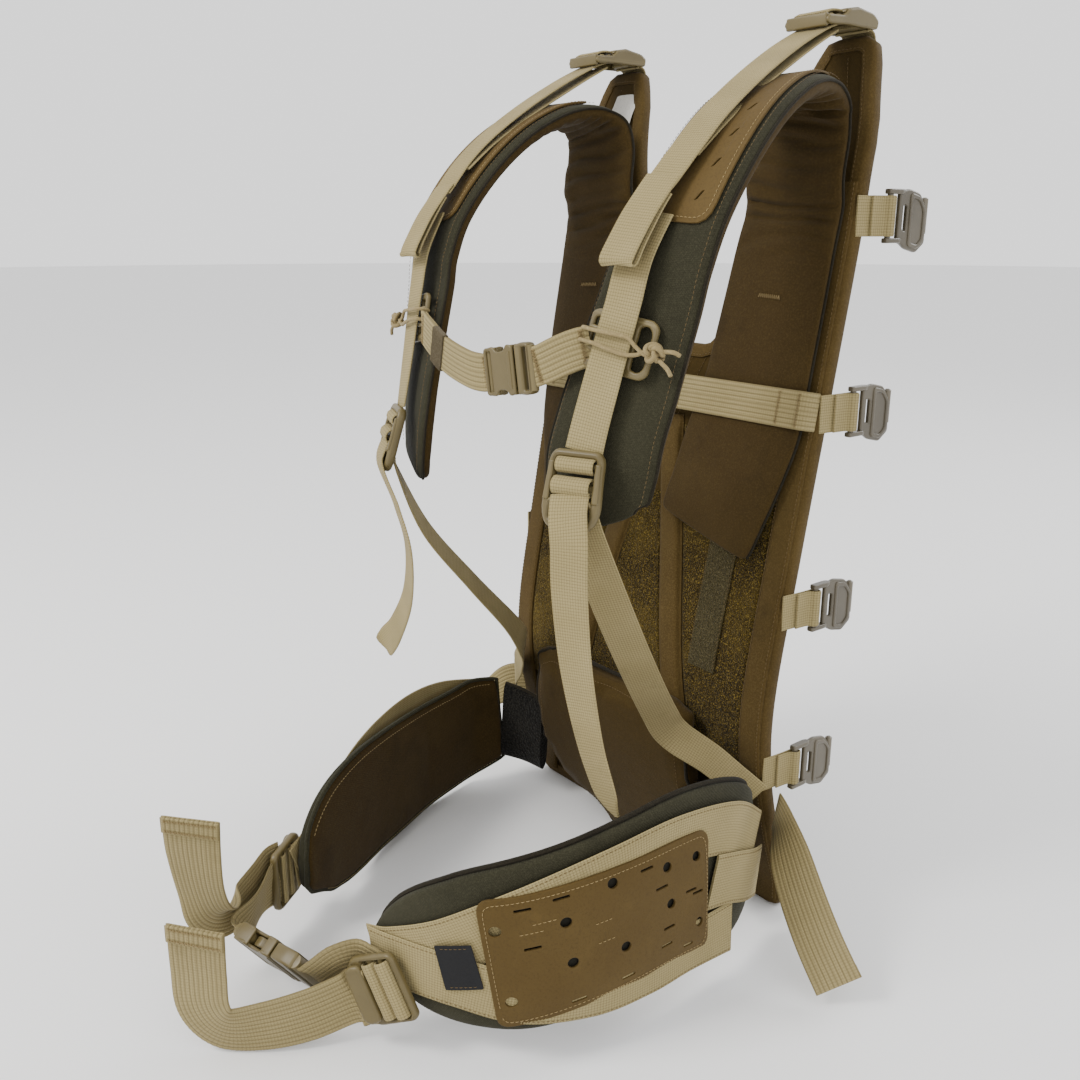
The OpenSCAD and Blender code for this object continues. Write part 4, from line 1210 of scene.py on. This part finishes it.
def keeper_place(s):
    """The keeper lies on the strap, so it leans with it."""
    x, y, z = KEEPER_TURN
    return side_matrix(s) @ shift(*KEEPER_AT) @ turn("Z", z) @ turn("Y", y) @ turn("X", x)


def make_keepers():
    """A flat ring with two slots; the shoulder webbing passes in front of it."""
    piece = Piece("sternum_keepers", TAN)
    for _, s in SIDES:
        flat = keeper_place(s) @ UPRIGHT
        outline = rounded([(-23, -15), (-19, -17.5), (19, -17.5), (23.5, -14), (23.5, 14), (19, 17.5),
                           (-19, 17.5), (-23, 15)], 5)
        left = rounded(box_outline(-19.5, -12.5, -12.5, 12.5), 2.5)
        right = rounded([(11, -12.5), (17, -13.5), (20, -10), (20, 10), (17, 13.5), (11, 12.5)], 2.5)
        plate(piece, flat, outline, 3.4, [left, right], bevel=1.3)
        for z in (-6, 6):
            piece.tube([flat @ Vector((x, z, 1.6)) for x in (-22, -20, -12, -11)], 1.5, 10, taper=True)
    piece.store("sternum_strap", "sternum_keepers", slot="tan_plastic", smooth=40)


def knot(piece, place, size, radius):
    """A closed cord that winds round itself in a tight knot."""
    out, n = [], 64
    for k in range(n):
        t = math.tau * k / n
        r = size * (0.62 + 0.30 * math.cos(3 * t))
        x, y, z = r * math.cos(2 * t) * 1.15, -size * 0.5 * math.sin(3 * t), r * math.sin(2 * t)
        out.append(place @ Vector((x, y, z)))
    piece.tube(out, radius, 10, closed=True)


def make_shock_cords():
    """Elastic cord hooked on the keeper, laid over the webbing and knotted past its far bar."""
    piece = Piece("shock_cords", CORD)
    for _, s in SIDES:
        place = keeper_place(s)
        routes = [
            [(-23, 1.5, 4.2), (-24.6, -3, 4.4), (-22, -7.5, 4.2), (-12, -9.2, 4.2), (0, -9.6, 4.6),
             (9, -8.6, 4.6), (15, -7.6, 1.0), (22, -7.4, -2.0), (28, -8, -1.5)],
            [(-23, 1.5, -2.8), (-24.6, -3, -3), (-22, -7.4, -3), (-12, -9.2, -3.2), (0, -9.4, -4.4),
             (9, -8.4, -5), (16, -7.4, -3.6), (22, -7.6, -0.6), (28, -8, 1.5)],
            [(28, -8, 1), (34, -8.4, 2.2), (40, -8, 3.2), (44, -6.4, 2.2)],
            [(28, -8, -1.5), (34, -8.6, -3.8), (39, -8.4, -6.5), (42, -7, -10)]]
        for route in routes:
            points = spline([list(p) for p in route], 6)
            piece.tube([place @ Vector(p) for p in points], 1.25, 10, taper=True)
        knot(piece, place @ shift(28, -8, 0), 5.6, 1.5)
        knot(piece, place @ shift(28.6, -8, 0.4) @ turn("Y", 60) @ turn("X", 35), 4.4, 1.4)
    piece.store("sternum_strap", "shock_cords", slot="khaki_cord", smooth=60)


def make_sternum_webbing():
    """Webbing doubled on both sides of the buckle, with an elastic keeper on the far one."""
    near = [(93, -153.5, 422), (88, -157.5, 420.6), (82, -161.6, 418), (75, -165.6, 414.4),
            (68, -168.8, 410.6), (59.5, -170.9, 407.2)]
    far = [(18, -172, 401), (8, -172.6, 399), (-10, -172, 400), (-40, -169, 406), (-66, -163.5, 415),
           (-84, -158, 420), (-87, -156.6, 421)]
    for side, points in (("left", near), ("right", far)):
        piece = Piece(f"sternum_webbing_{side}", RIBBED, THREAD, ELASTIC)
        rows = [[*p, 0, 0, 1, 24.4, 1.6] for p in points]
        places = strap(piece, rows)
        back = [[p[0], p[1] + 1.6, p[2], 0, 0, 1, 24.4, 1.2] for p in points[1:-1]]
        strap(piece, back)
        for i in (4, 5, -5, -6):
            piece.bartack(places[i], 21)
        if side == "right":
            rows = [[*p, 0, 0, 1, 26.4, 4.8, 0, -1.5]
                    for p in ((-42, -168.7, 406.6), (-50, -167.2, 409.1), (-58, -165.4, 411.9))]
            strap(piece, rows, slot=2, pitch=1.5)
        piece.store("sternum_strap", f"sternum_webbing_{side}", slot="khaki_webbing")


# ---- Side-release buckles: the socket opens towards +X, with its thickness along Y ----
def make_socket(piece, place, w, length, h):
    """The female half: two skins, two side rails, mouth lips and a webbing bar."""
    wide = (w + 7) / 2
    flat = place @ UPRIGHT
    shell = rounded(both_halves([(0, wide - 1.5), (-length * 0.2, wide), (-length * 0.3, wide - 4),
                                 (-length * 0.56, wide - 4.4), (-length * 0.66, wide - 0.6),
                                 (-length, wide - 1.6)]), 2.2)
    slot_hole = rounded(box_outline(-length + 2.6, -length + 7, -w / 2 - 0.4, w / 2 + 0.4), 1.2)
    for e in (-1, 1):
        plate(piece, flat @ shift(0, 0, e * (h / 2 - 1.1)), shell, 2.2, [slot_hole], bevel=0.9)
        rail = rounded(box_outline(-length + 1, -length * 0.6, -1.2, 1.2), 0.8)
        plate(piece, flat @ shift(0, e * (wide - 2.4), 0), rail, h - 1.2, bevel=0.6)
        lip = rounded(box_outline(-length * 0.22, -0.2, -1.1, 1.1), 0.8)
        plate(piece, flat @ shift(0, e * (wide - 1.9), 0), lip, h - 1.0, bevel=0.6)
    ridge = rounded([(-2.2, -wide + 4), (-2.2, wide - 4), (-5.4, wide - 7), (-5.4, -wide + 7)], 1.2)
    plate(piece, flat @ shift(0, 0, h / 2 - 0.2), ridge, 1.4, bevel=0.5)
    for x in (-length + 1.4, -length + 8.6):
        bar(piece, place @ shift(x, 0, 0) @ turn("Y", 90), h / 2 - 1.2, w + 3)


def make_prong(piece, place, w, length, h):
    """The male half: a base with its webbing bar, two sprung arms and a guide."""
    wide = (w + 7) / 2
    flat = place @ UPRIGHT
    base = rounded(both_halves([(0.8, wide - 1), (length * 0.3, wide), (length * 0.5, wide - 1)]), 2.0)
    hole = rounded(box_outline(length * 0.5 - 6.6, length * 0.5 - 2.2, -w / 2 - 0.4, w / 2 + 0.4), 1.2)
    plate(piece, flat, base, h - 1.6, [hole], bevel=1.6)
    bar(piece, place @ shift(length * 0.5 - 1.2, 0, 0) @ turn("Y", 90), h / 2 - 1.4, w + 3)
    reach = length * 0.5
    for e in (-1, 1):
        arm = [(x, e * (wide - y)) for x, y in (
            (1, 5.6), (-reach * 0.35, 4.2), (-reach * 0.62, 2.2), (-reach * 0.9, 4.8),
            (-reach, 7.4), (-reach * 0.8, 7.6), (-reach * 0.3, 7.4), (1, 8.4))]
        plate(piece, flat, rounded(arm[::e], 1.4), h - 5.6, bevel=0.9)
    middle = rounded(box_outline(-reach * 0.86, 1, -1.5, 1.5), 1.2)
    plate(piece, flat, middle, h - 5.8, bevel=0.8)


STERNUM_PLACE = shift(46, -172, 405) @ turn("Z", 4) @ turn("Y", -9)
BELT_PLACE = shift(19, -338, 37) @ turn("Z", 15.9) @ turn("X", 35)


def make_buckles():
    for node, place, maker, size, body in (
            ("sternum_buckle_female", STERNUM_PLACE, make_socket, (NARROW, 28, 9), "sternum_strap"),
            ("sternum_buckle_male", STERNUM_PLACE, make_prong, (NARROW, 28, 9), "sternum_strap"),
            ("belt_buckle_female", BELT_PLACE, make_socket, (WIDE, 34, 12), "belt_wing_right"),
            ("belt_buckle_male", BELT_PLACE, make_prong, (WIDE, 40, 12), "belt_wing_left")):
        piece = Piece(node, TAN)
        maker(piece, place, *size)
        piece.store(body, node, slot="tan_plastic", smooth=35)


# ---- Hip belt ----
WING_LEFT = [(139, -53, 28, 98), (150, -76, 22, 122), (156, -100, 20, 144), (159, -140, 22, 154),
             (158, -180, 24, 151), (151, -215, 24, 144), (137, -243, 21, 135), (115, -264, 20, 121),
             (90, -279, 24, 103), (68, -287, 36, 80), (60, -289, 46, 68)]
WING_RIGHT = [(-138.5, -54, 24, 102), (-141, -80, 16, 106), (-135, -105, 14, 105), (-123, -140, 13, 106),
              (-108, -172, 12, 108), (-93, -202, 12, 109), (-77, -230, 12, 109), (-63, -254, 14, 104),
              (-52, -272, 18, 92), (-44, -286, 30, 72), (-41, -291, 40, 62)]
WING_T = 14


def wing_rows(points):
    return [[p[0], p[1], (p[2] + p[3]) / 2, 0, 0, 1, p[3] - p[2], WING_T, 0, 0] for p in points]


WINGS = {"left": stations(even(wing_rows(WING_LEFT), 4)),
         "right": stations(even(wing_rows(WING_RIGHT[::-1]), 4))[::-1]}


def wing_at(side, f):
    """The wing's own place at a fraction of its length from the root, as a blended station."""
    places = WINGS[side]
    k = min(max(f, 0), 1) * (len(places) - 1.001)
    a, b, t = places[int(k)], places[int(k) + 1], k - int(k)
    return (a.middle.lerp(b.middle, t), a.across.lerp(b.across, t).normalized(),
            a.out.lerp(b.out, t).normalized(), a.width + (b.width - a.width) * t)


def make_wing(side):
    """A padded wing: olive outside, brown inside, with a bound edge."""
    places = WINGS[side]
    obj, pins = soft_shell(f"hip_wing_{side}", places, round_section(30, 0.5), 4.0, 0.3, 0.46, 0.08)
    trim = Piece(f"wing_binding_{side}", BLACK if side == "left" else OLIVE, THREAD)
    top = [p.at(0.5, 0.34) for p in places]
    bottom = [p.at(-0.5, 0.34) for p in places]
    trim.tube(top + bottom[::-1], 1.7, 8, closed=True)
    for a in (-0.455, 0.455):
        points = [p.at(a, 0.06) - p.out * 0.6 for p in places[2:-3]]
        trim.stitches(points, [-p.out for p in places[2:-3]], 1, radius=0.24)
    trim.store(f"belt_wing_{side}", slot="olive_fabric")
    return (obj, 4.0, 3.0, pins), obj, None


def make_wing_bands(side):
    """Two webbings spread from the adjuster over the wing, and a short one at the root."""
    piece = Piece(f"wing_bands_{side}", KHAKI, DARK_THREAD)
    routes = [([(0.05, 20), (0.2, 34), (0.35, 39), (0.5, 37), (0.65, 28), (0.8, 12), (0.92, 3),
                (0.985, 0)], 0.4),
              ([(0.12, -36), (0.28, -41), (0.42, -42), (0.56, -38), (0.7, -26), (0.82, -10), (0.92, -2),
                (0.985, 0)], 2.1)]
    if side == "left":
        routes.append(([(0.0, -6), (0.08, -4), (0.16, -2), (0.24, 0)], 2.3))
    for route, lift in routes:
        rows = []
        for f, dz in route:
            middle, across, out, _ = wing_at(side, f)
            p = middle + across * dz + out * (WING_T + lift)
            rows.append([*p, *across, 36 if dz else 38, 1.5])
        if side == "right":
            rows = rows[::-1]
        places = strap(piece, rows)
        for a in (-0.44, 0.44):
            piece.stitches(*line_on(places, a, 1.06), 1, radius=0.24)
    piece.store(f"belt_wing_{side}", f"wing_bands_{side}", slot="tan_laminate")


def patch_holes(length, high):
    """Round holes and short slits, placed as fractions of the patch."""
    holes = [(0.055, 0.27), (0.065, -0.29), (0.30, 0.23), (0.30, -0.10), (0.50, 0.40), (0.52, -0.14),
             (0.76, 0.34), (0.76, 0.03), (0.92, 0.32), (0.93, -0.24)]
    slits = [(0.30, 0.42), (0.16, 0.40), (0.66, 0.40), (0.72, 0.20), (0.74, -0.16), (0.72, -0.30),
             (0.30, -0.42), (0.52, -0.40), (0.88, 0.06), (0.92, 0.02), (0.86, -0.40), (0.17, 0.10)]
    out = [circle(f * length, v * high, 3.5, 24) for f, v in holes]
    for f, v in slits:
        x, y = f * length, v * high
        out.append(rounded(box_outline(x - 5, x + 5, y - 0.9, y + 0.9), 0.8))
    return out


def along_edge(corners, radius, bend, z, step=4):
    """Points and outward directions along a rounded outline on a bent piece."""
    edge = [Vector(p) for p in rounded(corners, radius)]
    points, outs = [], []
    for a, b in zip(edge, edge[1:] + edge[:1]):
        count = max(1, round((b - a).length / step))
        for k in range(count):
            p = a.lerp(b, k / count)
            points.append(bend(p[0], p[1], z))
            outs.append((bend(p[0], p[1], z + 1) - bend(p[0], p[1], z - 1)).normalized())
    return points, outs


def make_wing_patch(side, first, last, high):
    """A perforated laminate patch; x runs from the tip end to the root end, and its ends lean."""
    piece = Piece(f"wing_patch_{side}", LAMINATE, THREAD, HOLE)
    places = WINGS[side]
    length = sum((b.middle - a.middle).length for a, b in zip(places, places[1:])) * (last - first) * 1.12

    def bend(x, y, z):
        v = y / high
        tip, root = last - 0.023 * v, first + 0.056 * v
        middle, across, out, _ = wing_at(side, tip - (tip - root) * x / length)
        return middle + across * (y - 1.5) + out * (WING_T + 4.6 + z - 2.2 * abs(2 * v) ** 4)

    outline = rounded(box_outline(0, length, -high / 2, high / 2), 8)
    bent_plate(piece, outline, 1.8, patch_holes(length, high), bend, bevel=0.4)
    behind = box_outline(length * 0.12, length - 5, -high / 2 + 5, high / 2 - 5)
    bent_plate(piece, behind, 0.4, [], lambda x, y, z: bend(x, y, z - 1.3), bevel=0.1, slot=2)
    sewn = box_outline(3.5, length - 3.5, -high / 2 + 3.5, high / 2 - 3.5)
    piece.stitches(*along_edge(sewn, 6, bend, 0.95), 1, radius=0.27)
    for f, v in ((0.44, 0.14), (0.44, -0.02), (0.22, 0.28), (0.17, 0.22)):
        line = [bend(f * length + t, v * high, 0.95) for t in (-7, -2, 3, 8)]
        piece.stitches(line, [wing_at(side, (first + last) / 2)[2]] * 4, 1, radius=0.27)
    piece.store(f"belt_wing_{side}", f"wing_patch_{side}", slot="tan_laminate", smooth=50)


def make_belt_label():
    """A blank label on the near wing, sewn above and below."""
    piece = Piece("belt_label", LABEL, DARK_THREAD)

    def bend(x, y, z):
        middle, across, out, _ = wing_at("left", 0.79 - x / 330)
        return middle + across * (y - 1) + out * (WING_T + 4.6 + z)

    bent_plate(piece, rounded(box_outline(-12, 12, -15, 15), 1), 0.8, [], bend, bevel=0.2)
    for y in (-13, 13):
        line = [bend(x, y, 0.45) for x in (-10, -3, 3, 10)]
        piece.stitches(line, [wing_at("left", 0.79)[2]] * 4, 1, radius=0.24)
    piece.store("belt_wing_left", "belt_label", slot="black_label")


def make_tri_glide(side, place):
    """A moulded adjuster: rounded frame, a broad curved nose and webbing turned over its bars."""
    piece = Piece(f"tri_glide_{side}", TAN, KHAKI)
    flat = place @ UPRIGHT
    w = 23.5
    outline = rounded(both_halves([(-19, w - 4), (-14, w), (15, w - 1), (18, w - 4)]), 5)
    window = rounded(box_outline(-7.5, 14, -19.4, 19.4), 2.5)
    plate(piece, flat, outline, 5.8, [window], bevel=2.2)
    nose = rounded(both_halves([(-20.5, w - 7), (-16, w - 3.5), (-7.6, w - 4.5)]), 4)
    plate(piece, flat @ shift(0, 0, 2.4) @ turn("Y", 9), nose, 5.4, bevel=2.4)
    for x in (-1.6, 7.2):
        bar(piece, place @ shift(x, 0, 0) @ turn("Y", 90), 2.2, 40.6)
    for x, r in ((-2.4, 4.3), (8.2, 4.6)):
        wrap(piece, place @ shift(x, -0.8, 0) @ turn("Y", 90), r, WIDE, 85, 395, 1)
    piece.store(f"belt_wing_{side}", f"tri_glide_{side}", slot="tan_plastic", smooth=40)


NEAR_TAIL = [(80, -313, 37, 0, 0, 1), (74, -317, 35, 0, 0, 1), (67, -321, 32, 0, 0, 1),
             (57, -344, 25, 0, 0, 1), (45, -367, 21, 0.1, 0, 1), (32, -387, 21, 0.45, 0.25, 0.85),
             (23, -396, 34, 0.76, 0.6, 0.3), (20, -396, 58, 0.78, 0.63, 0.04),
             (22, -396, 90, 0.76, 0.65, 0.06)]
NEAR_INNER = [(82, -303, 46, 0, 0, 1), (70, -307, 48, 0, 0, 1), (62, -311, 50, 0, -0.1, 1),
              (56, -319, 49, 0.08, -0.3, 0.93), (49, -327.5, 42, 0.14, -0.5, 0.85),
              (44.6, -330.6, 38, 0.16, -0.55, 0.82), (37, -332.8, 37.2, 0.16, -0.55, 0.82)]
FAR_INNER = [(-58, -309, 46, 0, 0, 1), (-52, -322, 44, 0.2, 0.1, 1), (-40, -335, 41, 0.3, 0, 0.95),
             (-30, -344.5, 38, 0.25, -0.35, 0.88), (-23, -348.6, 37, 0.16, -0.55, 0.82),
             (-14.5, -347.6, 37, 0.16, -0.55, 0.82)]
FAR_TAIL = [(-65, -306, 52, 0, 0, 1), (-62, -316, 52, 0, 0, 1), (-52, -331, 49, 0, 0, 1),
            (-40, -352, 48, 0.15, 0.1, 1), (-31, -367, 58, 0.65, 0.4, 0.7), (-28, -374, 80, 0.8, 0.5, 0.25),
            (-26, -377, 108, 0.72, 0.58, 0.36), (-22, -378, 136, 0.66, 0.62, 0.42)]


def make_belt_webbing(side, inner, tail):
    """The run to the buckle, and the loose end, folded over and stitched at its tip."""
    piece = Piece(f"belt_webbing_{side}", RIBBED, THREAD)
    strap(piece, [[*p, WIDE, THICK] for p in inner])
    places = strap(piece, [[*p, WIDE, THICK] for p in tail])
    hem(piece, places, 13, 1.15)
    for i in (-3, -11):
        for b in (2.15, -0.05):
            piece.bartack(places[i], 34, b=b, rows=2)
    piece.store(f"belt_wing_{side}", f"belt_webbing_{side}", slot="khaki_webbing")


STABILIZER = [(146, -21, 90, 0, 0.1, 1), (158, -29, 87, 0.1, 0.22, 1), (173, -38, 76, 0.3, 0.42, 0.85),
              (192, -46, 57, 0.45, 0.56, 0.68), (214, -53, 36, 0.5, 0.64, 0.58),
              (236, -58, 17, 0.5, 0.66, 0.55)]


def make_stabilizers():
    """Short straps from the frame's foot past the wings, each with a hanging hemmed end."""
    for side, s in SIDES:
        piece = Piece(f"stabilizer_{side}", RIBBED, THREAD)
        places = strap(piece, mirrored([[*p, 32, 1.6] for p in STABILIZER], s))
        hem(piece, places, 9, 1.1)
        for i in (-3, -8):
            piece.bartack(places[i], 28, b=2.1, rows=2)
        piece.store("frame", *(["stabilizer_straps"] if s > 0 else []), slot="khaki_webbing")


def make_belt_roots():
    """Bound mesh from the lumbar area to each wing."""
    for side, s in SIDES:
        rows = [[95, -44.5, 60, 0, 0, 1, 64, 9, 0, 0], [112, -46.5, 61, 0, 0, 1, 66, 9, 0, 0],
                [124, -49.5, 62, 0, 0, 1, 68, 9, 0, 0], [138, -55, 63, 0, 0, 1, 70, 8.5, 0, 0]]
        piece = Piece(f"belt_root_{side}", SPACER, BLACK)
        places = stations(even(mirrored(rows, s), 3))
        piece.loft([[p.at(a, b) for a, b in round_section(24, 0.5)] for p in places], 3.0)
        for edge in (-0.5, 0.5):
            piece.tube([p.at(edge, 0.5) for p in places], 1.6, 8, 1)
        obj = piece.store(None, *(["belt_roots"] if s > 0 else []), slot="black_mesh")
        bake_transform(obj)


def make_lumbar():
    obj = remeshed("lumbar_pad", ["lumbar_pad"], 5.0, 6)
    return (obj, 3.0, 5.0, []), obj


def make_lumbar_trim(obj):
    """Piping round the pad's edge and a row of stitching inside it."""
    tree = BVHTree.FromPolygons([v.co / MM for v in obj.data.vertices],
                                [tuple(p.vertices) for p in obj.data.polygons])
    outline = rounded([(-88, 150), (-70, 156), (70, 156), (88, 150), (96, 60), (78, 22), (16, 3), (-16, 3),
                       (-78, 22), (-96, 60)], 9)
    piece = Piece("lumbar_trim", BLACK, DARK_THREAD)
    for inset, kind in ((0.965, "pipe"), (0.88, "thread")):
        loop = [Vector((p[0] * inset, 78 + (p[1] - 78) * inset)) for p in outline]
        loop.append(loop[0])
        flat = []
        for a, b in zip(loop, loop[1:]):
            count = max(1, round((b - a).length / 5))
            flat += [a.lerp(b, k / count) for k in range(count)]
        points, outs = drop_on(tree, [on_frame(x, z, 40) for x, z in flat], (0, 1, 0), 0.1)
        if kind == "pipe":
            piece.tube(points, 1.3, 8, 0, closed=True)
        else:
            piece.stitches(points, outs, 1)
    piece.store("frame", slot="brown_fabric")


# ---- Everything in order ----
def make_soft_pieces():
    made = []
    for side, s in SIDES:
        strap_nodes = (f"shoulder_pad_{side}", f"yoke_panel_{side}")
        made.append((*make_shoulder_strap(side, s), "frame", strap_nodes))
        made.append((*make_wing(side), f"belt_wing_{side}", (f"hip_wing_{side}",)))
    job, lumbar = make_lumbar()
    made.append((job, lumbar, None, "frame", ("lumbar_pad",)))
    inflate([entry[0] for entry in made])
    lumbar.data.materials.clear()
    lumbar.data.materials.append(BROWN)
    for _, obj, finish, body, nodes in made:
        if finish:
            finish()
        obj.modifiers.new("subdivide", "SUBSURF").levels = 1
        settle(obj)
        shade(obj.data, 60)
        attach(obj, body, *nodes, slot="brown_fabric" if obj is lumbar else "olive_fabric")
    make_lumbar_trim(lumbar)


def make_harness():
    patches = [make_strap_patch(side, s) for side, s in SIDES]
    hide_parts("strap_patches")
    anchors = [make_lifter_anchor(side, s) for side, s in SIDES]
    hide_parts("lifter_anchors")
    for side, s in SIDES:
        make_side_webbing(side, s)
        for k in range(4):
            make_side_buckle(side, s, k)
        make_shoulder_webbing(side, s)
        make_lifter_webbing(side, s)
        make_lifter_buckle(side, s)
        make_ladder_lock(side, s)
        make_lower_webbing(side, s)
    make_keepers()
    make_shock_cords()
    make_sternum_webbing()
    make_buckles()


def make_belt():
    make_belt_roots()
    for side, first, last, high in (("left", 0.256, 0.738, 87), ("right", 0.33, 0.73, 78)):
        make_wing_bands(side)
        make_wing_patch(side, first, last, high)
    make_belt_label()
    make_tri_glide("left", shift(86, -307, 44) @ turn("Z", 26) @ turn("Y", -25))
    make_tri_glide("right", shift(-63, -301, 46) @ turn("Z", -52))
    make_belt_webbing("left", NEAR_INNER, NEAR_TAIL)
    make_belt_webbing("right", FAR_INNER, FAR_TAIL)
    make_stabilizers()


make_camera((0.582, -0.574, 0.491), 52, 16.3, 36)
make_studio()
make_frame_shell()
make_binding()
make_rails()
make_sleeves()
make_loop_field()
make_hook_strips()
make_frame_seams()
make_torso_webbing()
make_care_label()
make_soft_pieces()
make_harness()
make_belt()
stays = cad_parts["stays"]
stays.data.materials.clear()
stays.data.materials.append(METAL)
